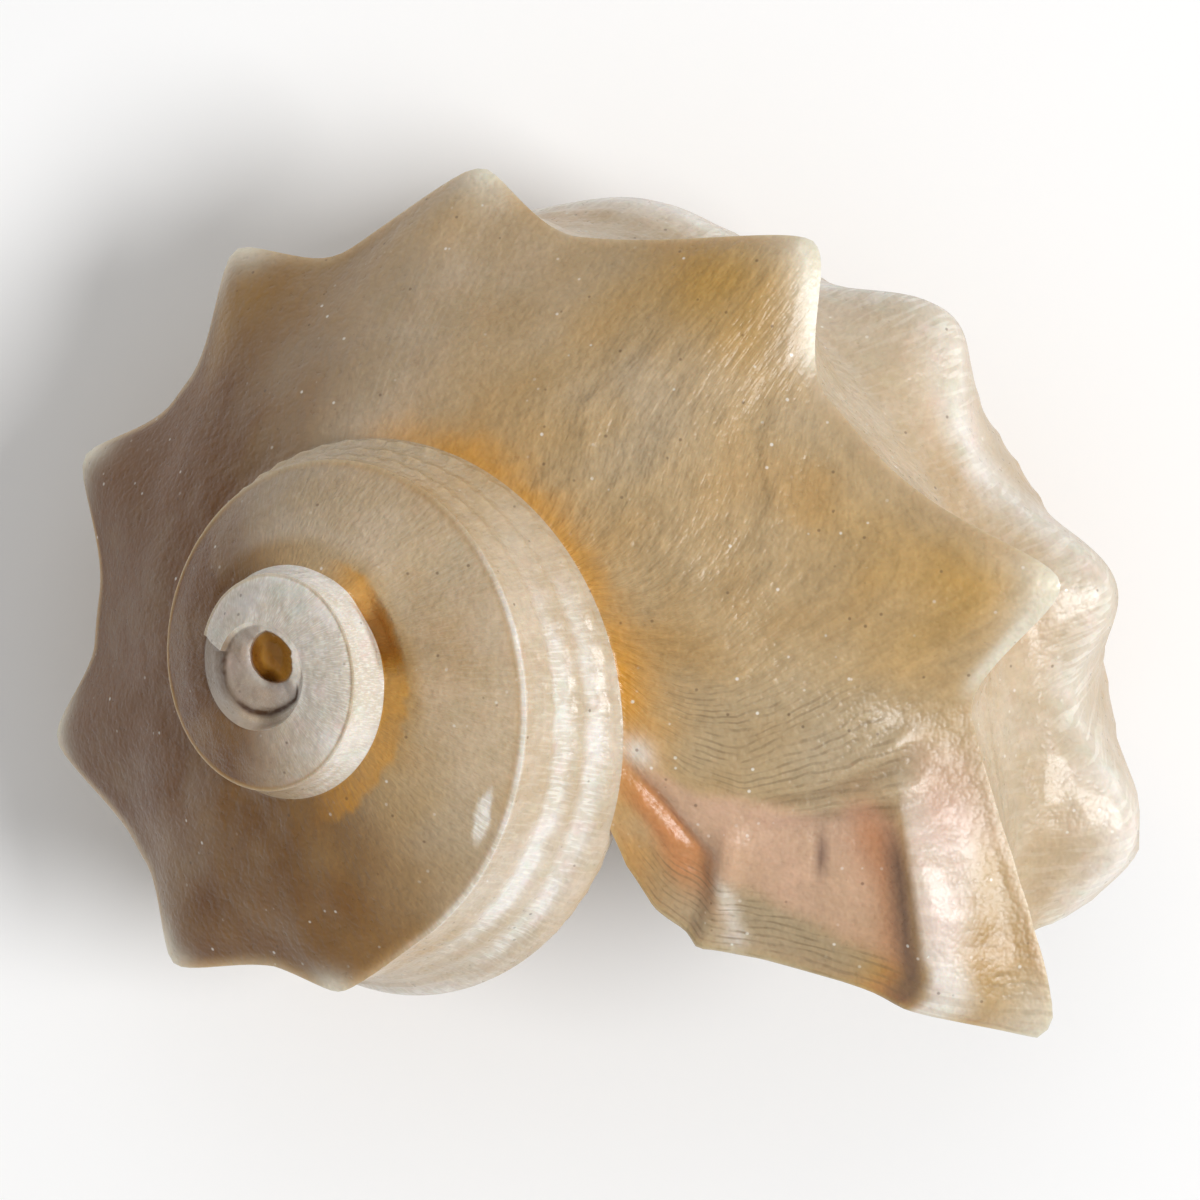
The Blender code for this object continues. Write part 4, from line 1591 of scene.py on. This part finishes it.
@dataclass(frozen=True)
class ShellFinish:
    """Polished, slightly translucent shell with its pigments, nacre and growth lines, and with painted
    shade, painted highlights, painted glints and a painted pink and green sheen among its colours.
    """

    sand: Colour = tone(182, 154, 112)
    warm: Colour = tone(180, 142, 86)
    cool: Colour = tone(184, 162, 130)
    amber: Colour = tone(200, 142, 52)
    ochre: Colour = tone(184, 142, 66)
    # The dark brown below is both the shell's own brown and painted shade on the side turned from the light.
    umber: Colour = tone(110, 68, 14)
    # The nacre colour below also paints the glint bands and the paler lit side of the walls.
    pearl: Colour = tone(226, 220, 212)
    pearl_shade: Colour = tone(212, 202, 186)
    # The pink and green below are a painted iridescent sheen on the nacre.
    pink_sheen: Colour = tone(236, 208, 204)
    green_sheen: Colour = tone(210, 224, 206)
    # The chalky white below also paints a highlight on the lit front edge of the two largest spines.
    chalk: Colour = tone(222, 214, 194)
    rose: Colour = tone(206, 168, 146)
    orange: Colour = tone(190, 122, 70)
    grey: Colour = tone(170, 152, 122)
    # The violet below is the lilac of the first whorl and the curl, and painted shade under the lip's ridge.
    plum: Colour = tone(112, 84, 70)
    # The dark brown below draws the specks, the darker umbilicus, pit and closing grids, and painted shade
    # along the seam.
    dirt: Colour = tone(78, 52, 32)
    line: Colour = tone(122, 102, 72)
    glint: Colour = tone(240, 236, 226)
    fine_scale: tuple[float, float] = (260.0, 12.0)
    broad_scale: tuple[float, float] = (60.0, 2.0)
    comb_scale: tuple[float, float] = (420.0, 5.0)
    wander_scale: tuple[float, float] = (60.0, 5.0)
    gap_scale: tuple[float, float] = (150.0, 14.0)
    drift_scale: float = 110.0
    patch_scale: float = 260.0
    sheen_scale: float = 900.0
    grain_scale: float = 2600.0
    speck_scale: float = 1400.0
    spark_scale: float = 1900.0
    stripe_every: float = 1.0
    stripe_wander: float = 16.0
    nacre_strength: float = 1.15
    line_strength: float = 0.8
    speck_strength: float = 0.5
    spark_strength: float = 0.7
    roughness: float = 0.19
    grain_roughness: float = 0.3
    spark_roughness: float = -0.2
    ior: float = 1.53
    specular: float = 0.3
    coat: float = 0.22
    coat_roughness: float = 0.13
    subsurface: float = 0.22
    subsurface_scale: float = 0.0018
    subsurface_radius: tuple[float, float, float] = (1.0, 0.55, 0.3)
    bump: float = 0.00014

    def patterns(self, pen: NodePen) -> Patterns:
        """The nodes that the parts of the material share.

        Args:
            pen: writes the nodes.

        Returns:
            Their sockets.
        """
        growth = pen.node("ShaderNodeUVMap", uv_map="growth").outputs["UV"]
        place = pen.node("ShaderNodeTexCoord").outputs["Object"]
        channels = {}
        for layer in LAYERS:
            split = pen.node("ShaderNodeSeparateColor")
            pen.feed(split.inputs[0], pen.node("ShaderNodeVertexColor", layer_name=layer).outputs["Color"])
            channels[layer] = split.outputs
        mask = {m: channels[m.value[0]][m.value[1]] for m in Mask}
        return Patterns(
            growth=growth,
            place=place,
            mask=mask,
            fine_lines=pen.lines(growth, self.fine_scale, 2.0),
            broad_lines=pen.lines(growth, self.broad_scale, 1.0, 0.5),
            patches=pen.noise(place, self.patch_scale, 3.0, 0.6),
            grain=pen.noise(place, self.grain_scale, 1.0, 0.6),
            calm=pen.math("SUBTRACT", 1.0, pen.math("MULTIPLY", mask[Mask.PEARL_AND_GLINT], 0.8)),
        )

    def ground(self, pen: NodePen, p: Patterns) -> bpy.types.NodeSocket:
        """Sand colour that drifts to warmer and cooler.

        Args:
            pen: writes the nodes.
            p: shared patterns.

        Returns:
            The colour.
        """
        drift = pen.noise(p.place, self.drift_scale, 2.0, 0.55)
        warmer = pen.math("MULTIPLY", pen.between(drift, Rise(0.48, 0.66)), p.calm)
        cooler = pen.math("MULTIPLY", pen.between(drift, Rise(0.50, 0.32)), p.calm)
        return pen.mix(cooler, pen.mix(warmer, self.sand, self.warm), self.cool)

    def nacre(self, pen: NodePen, p: Patterns) -> bpy.types.NodeSocket:
        """Nacre colour with painted glints along fine lines and a faint painted iridescent sheen of pink and
        green.

        Args:
            pen: writes the nodes.
            p: shared patterns.

        Returns:
            The colour.
        """
        comb = pen.between(pen.lines(p.growth, self.comb_scale, 1.0), Rise(0.50, 0.60))
        sheen_noise = pen.noise(p.place, self.sheen_scale, 1.0, 0.5)
        pink = pen.between(sheen_noise, Rise(0.55, 0.75))
        green = pen.between(sheen_noise, Rise(0.45, 0.25))
        colour = pen.mix(pen.between(p.patches, Rise(0.42, 0.62)), self.pearl_shade, self.pearl)
        # Painted glints along the growth lines.
        colour = pen.mix(pen.math("MULTIPLY", comb, 0.55), colour, self.glint)
        # Painted iridescent sheen of pink and green.
        colour = pen.mix(pen.math("MULTIPLY", pink, 0.25), colour, self.pink_sheen)
        return pen.mix(pen.math("MULTIPLY", green, 0.25), colour, self.green_sheen)

    def pigments(self, pen: NodePen, p: Patterns) -> bpy.types.NodeSocket:
        """All pigments laid over the ground, one after another, painted shade, highlights and glints among
        them.

        Args:
            pen: writes the nodes.
            p: shared patterns.

        Returns:
            The colour.
        """
        colour = self.ground(pen, p)
        steps = ((Mask.GREY, self.grey, p.patches), (Mask.UMBER_AND_SHADE, self.umber, p.patches),
                 (Mask.OCHRE, self.ochre, p.broad_lines), (Mask.AMBER, self.amber, p.patches),
                 (Mask.PEARL_AND_GLINT, self.nacre(pen, p), None), (Mask.CHALK_AND_HIGHLIGHT, self.chalk, p.broad_lines),
                 (Mask.ROSE, self.rose, p.patches), (Mask.ORANGE, self.orange, p.patches),
                 (Mask.PLUM_AND_SHADE, self.plum, p.patches), (Mask.DIRT_AND_SHADE, self.dirt, p.grain))
        for which, pigment, variation in steps:
            strength: object = self.nacre_strength
            if variation is not None:
                strength = pen.math("MULTIPLY_ADD", variation, 0.8, 0.6)
            factor = pen.clamp(pen.math("MULTIPLY", p.mask[which], strength))
            colour = pen.mix(factor, colour, pigment)
        return colour

    def weathered(self, pen: NodePen, p: Patterns, colour: object) -> bpy.types.NodeSocket:
        """Streaks along the growth lines, and clouds and grain over all.

        Args:
            pen: writes the nodes.
            p: shared patterns.
            colour: what they are laid over.

        Returns:
            The colour.
        """
        streak = pen.math("MULTIPLY_ADD", p.fine_lines, 0.5, -0.25)
        streak = pen.math("ADD", pen.math("MULTIPLY", streak, p.mask[Mask.RIB]), 1.0)
        cloud = pen.math("SUBTRACT", p.patches, 0.5)
        cloud = pen.math("MULTIPLY_ADD", cloud, pen.math("MULTIPLY", p.calm, 0.4), 1.0)
        cloud = pen.math("MULTIPLY", cloud, pen.math("MULTIPLY_ADD", p.grain, 0.24, 0.88))
        return pen.shaded(pen.shaded(colour, streak), cloud)

    def drawn_lines(self, pen: NodePen, p: Patterns) -> bpy.types.NodeSocket:
        """Broken, wandering dark lines where the growth lines are drawn.

        Args:
            pen: writes the nodes.
            p: shared patterns.

        Returns:
            1 on a line, 0 elsewhere.
        """
        turns = pen.node("ShaderNodeSeparateXYZ")
        pen.feed(turns.inputs[0], p.growth)
        phase = pen.math("MULTIPLY", turns.outputs[0], TURN * 2 * math.pi / self.stripe_every)
        wander = pen.lines(p.growth, self.wander_scale, 2.0)
        phase = pen.math("MULTIPLY_ADD", wander, self.stripe_wander, phase)
        stripe = pen.between(pen.math("SINE", phase), Rise(0.1, 1.0))
        gaps = pen.between(pen.lines(p.growth, self.gap_scale, 3.0), Rise(0.36, 0.62))
        return pen.math("MULTIPLY", pen.math("MULTIPLY", stripe, gaps), p.mask[Mask.LINE])

    def relief(self, pen: NodePen, p: Patterns) -> bpy.types.NodeSocket:
        """Relief of the fine lines, patches and grain.

        Args:
            pen: writes the nodes.
            p: shared patterns.

        Returns:
            The bent normal.
        """
        height = pen.math("MULTIPLY", p.fine_lines, pen.math("MULTIPLY_ADD", p.mask[Mask.RIB], 0.9, 0.1))
        height = pen.math("MULTIPLY_ADD", p.grain, 0.5, height)
        height = pen.math("MULTIPLY_ADD", p.patches, 0.6, height)
        bump = pen.node("ShaderNodeBump")
        pen.feed(bump.inputs["Strength"], 1.0)
        pen.feed(bump.inputs["Distance"], self.bump)
        pen.feed(bump.inputs["Height"], height)
        return bump.outputs["Normal"]

    def build(self) -> bpy.types.Material:
        """The material with its nodes.

        Returns:
            The material.
        """
        material = bpy.data.materials.new("polished_shell")
        pen = NodePen(material)
        p = self.patterns(pen)
        specks = pen.dots(p.place, self.speck_scale, Rise(0.16, 0.06), 0, Rise(0.80, 0.84))
        sparks = pen.dots(p.place, self.spark_scale, Rise(0.22, 0.08), 1, Rise(0.80, 0.86))
        sparks = pen.math("MULTIPLY", sparks, pen.between(p.patches, Rise(0.45, 0.60)))
        colour = self.weathered(pen, p, self.pigments(pen, p))
        for where, strength, pigment in ((self.drawn_lines(pen, p), self.line_strength, self.line),
                                         (specks, self.speck_strength, self.dirt),
                                         (sparks, self.spark_strength, self.glint)):
            colour = pen.mix(pen.math("MULTIPLY", where, strength), colour, pigment)
        rough = pen.math("MULTIPLY_ADD", p.grain, self.grain_roughness, self.roughness)
        rough = pen.math("MULTIPLY_ADD", sparks, self.spark_roughness, rough)
        shader = pen.node("ShaderNodeBsdfPrincipled")
        pen.feed(shader.inputs["Base Color"], colour)
        pen.feed(shader.inputs["Roughness"], rough)
        pen.feed(shader.inputs["Normal"], self.relief(pen, p))
        shader.inputs["IOR"].default_value = self.ior
        shader.inputs["Specular IOR Level"].default_value = self.specular
        shader.inputs["Subsurface Weight"].default_value = self.subsurface
        shader.inputs["Subsurface Radius"].default_value = self.subsurface_radius
        shader.inputs["Subsurface Scale"].default_value = self.subsurface_scale
        shader.inputs["Coat Weight"].default_value = self.coat
        shader.inputs["Coat Roughness"].default_value = self.coat_roughness
        output = pen.node("ShaderNodeOutputMaterial")
        pen.feed(output.inputs["Surface"], shader.outputs["BSDF"])
        return material


@dataclass(frozen=True)
class FloorFinish:
    """Plain pale floor."""

    colour: Colour = (0.93, 0.93, 0.93, 1.0)
    roughness: float = 0.9

    def build(self) -> bpy.types.Material:
        """The material with its one shader.

        Returns:
            The material.
        """
        material = bpy.data.materials.new("pale_floor")
        pen = NodePen(material)
        shader = pen.node("ShaderNodeBsdfPrincipled")
        shader.inputs["Base Color"].default_value = self.colour
        shader.inputs["Roughness"].default_value = self.roughness
        output = pen.node("ShaderNodeOutputMaterial")
        pen.feed(output.inputs["Surface"], shader.outputs["BSDF"])
        return material


@dataclass(frozen=True)
class DolphinShell:
    """The shell as one closed mesh."""

    skin: Skin
    finish: ShellFinish
    smooth_angle: float = 55.0
    merge_distance: float = 1e-7
    least_edge: float = 1e-8

    def grid(self, kind: Kind, surface: Surface) -> bpy.types.Object:
        """One grid, added flat and then bent to its points.

        Args:
            kind: which part of the skin.
            surface: its points, growth coordinates and masks.

        Returns:
            The grid's object.
        """
        rows, columns = surface.points.shape[:2]
        bpy.ops.mesh.primitive_grid_add(x_subdivisions=columns - 1, y_subdivisions=rows - 1, size=2.0)
        made = bpy.context.object
        made.name = kind.value
        mesh = made.data
        flat = np.empty(3 * len(mesh.vertices))
        mesh.vertices.foreach_get("co", flat)
        flat = flat.reshape(-1, 3)
        j = np.rint((flat[:, 0] + 1) / 2 * (columns - 1)).astype(int)
        i = np.rint((flat[:, 1] + 1) / 2 * (rows - 1)).astype(int)
        low, high = (np.array(corner) for corner in CAD_BOX)
        points = np.clip(surface.points[i, j] * MM, low, high)
        mesh.vertices.foreach_set("co", points.ravel())
        corner = np.empty(len(mesh.loops), int)
        mesh.loops.foreach_get("vertex_index", corner)
        layer = mesh.uv_layers[0]
        layer.name = "growth"
        uv = np.stack([surface.growth[i, j][corner], surface.section[i, j][corner]], -1)
        layer.data.foreach_set("uv", uv.ravel())
        for name in LAYERS:
            paint = mesh.color_attributes.new(name, "FLOAT_COLOR", "CORNER")
            values = np.ones((len(corner), 4))
            for mask in Mask:
                if mask.value[0] == name:
                    values[:, mask.value[1]] = np.clip(surface.masks[mask][i, j][corner], 0, 1)
            paint.data.foreach_set("color", values.ravel())
        mesh.update()
        return made

    def build(self) -> bpy.types.Object:
        """Joins the grids, closes them and dresses the shell.

        Returns:
            The shell's object.
        """
        grids = [self.grid(kind, surface) for kind, surface in self.skin.build().items()]
        bpy.ops.object.select_all(action="DESELECT")
        for made in grids:
            made.select_set(True)
        bpy.context.view_layer.objects.active = grids[0]
        bpy.ops.object.join()
        shell = bpy.context.object
        shell.name = shell.data.name = "dolphin_shell"
        bpy.ops.object.mode_set(mode="EDIT")
        bpy.ops.mesh.select_all(action="SELECT")
        bpy.ops.mesh.remove_doubles(threshold=self.merge_distance)
        bpy.ops.mesh.dissolve_degenerate(threshold=self.least_edge)
        bpy.ops.mesh.select_all(action="SELECT")
        bpy.ops.mesh.normals_make_consistent(inside=False)
        bpy.ops.object.mode_set(mode="OBJECT")
        if self.volume(shell.data) < 0:
            bpy.ops.object.mode_set(mode="EDIT")
            bpy.ops.mesh.select_all(action="SELECT")
            bpy.ops.mesh.flip_normals()
            bpy.ops.object.mode_set(mode="OBJECT")
        bpy.ops.object.shade_smooth_by_angle(angle=math.radians(self.smooth_angle))
        shell.data.materials.clear()
        shell.data.materials.append(self.finish.build())
        return shell

    def volume(self, mesh: bpy.types.Mesh) -> float:
        """Signed volume of a closed mesh.

        Args:
            mesh: the mesh.

        Returns:
            Cubic metres, negative if it is inside out.
        """
        mesh.calc_loop_triangles()
        corners = np.empty(3 * len(mesh.loop_triangles), int)
        mesh.loop_triangles.foreach_get("vertices", corners)
        flat = np.empty(3 * len(mesh.vertices))
        mesh.vertices.foreach_get("co", flat)
        a, b, c = flat.reshape(-1, 3)[corners.reshape(-1, 3)].transpose(1, 0, 2)
        return float((a * np.cross(b, c)).sum() / 6)


@dataclass(frozen=True)
class Studio:
    """Floor, light and the camera above the shell."""

    floor_size: float = 1.2
    camera_at: tuple[float, float, float] = (0.000389, 0.000018, 0.3783)
    lens: float = 225.0
    sensor: float = 36.0
    clip: tuple[float, float] = (0.01, 5.0)
    key_at: tuple[float, float, float] = (0.80, -0.18, 0.98)
    key_size: float = 0.55
    key_power: float = 12.0
    fill_at: tuple[float, float, float] = (0.05, 0.40, 0.40)
    fill_size: float = 0.5
    fill_power: float = 0.3
    sky: float = 0.46

    def lamp(self, name: str, at: tuple[float, float, float], size: float, power: float) -> bpy.types.Object:
        """A round soft lamp that points at the shell.

        Args:
            name: its name.
            at: where it hangs, in metres.
            size: its width.
            power: its power in watts.

        Returns:
            The lamp.
        """
        bpy.ops.object.light_add(type="AREA", location=at)
        lamp = bpy.context.object
        lamp.name = name
        lamp.data.shape = "DISK"
        lamp.data.size = size
        lamp.data.energy = power
        x, y, z = at
        lamp.rotation_euler = (math.atan2(math.hypot(x, y), z), 0.0, math.atan2(y, x) + math.pi / 2)
        return lamp

    def build(self) -> None:
        """Adds all of them."""
        bpy.ops.mesh.primitive_plane_add(size=self.floor_size)
        floor = bpy.context.object
        floor.name = "floor"
        floor.data.materials.append(FloorFinish().build())
        self.lamp("key_light", self.key_at, self.key_size, self.key_power)
        self.lamp("fill_light", self.fill_at, self.fill_size, self.fill_power)
        scene = bpy.context.scene
        world = bpy.data.worlds.new("studio_sky")
        scene.world = world
        world.use_nodes = True
        sky = world.node_tree.nodes["Background"]
        sky.inputs["Color"].default_value = (1.0, 1.0, 1.0, 1.0)
        sky.inputs["Strength"].default_value = self.sky
        bpy.ops.object.camera_add(location=self.camera_at, rotation=(0.0, 0.0, 0.0))
        camera = bpy.context.object
        camera.name = "photo_camera"
        camera.data.lens = self.lens
        camera.data.sensor_width = self.sensor
        camera.data.clip_start, camera.data.clip_end = self.clip
        scene.camera = camera
        scene.view_settings.view_transform = "Standard"


def main() -> None:
    """Builds the shell and the studio."""
    logging.basicConfig(level=logging.INFO, format="%(message)s")
    form, carving = ShellForm(), Carving()
    skin = Skin(form, carving, Painting(form, carving))
    shell = DolphinShell(skin, ShellFinish()).build()
    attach(shell, "root")
    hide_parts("shell")
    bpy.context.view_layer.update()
    Studio().build()
    LOG.info("studio: floor, two lamps and the camera")


if __name__ == "__main__":
    main()
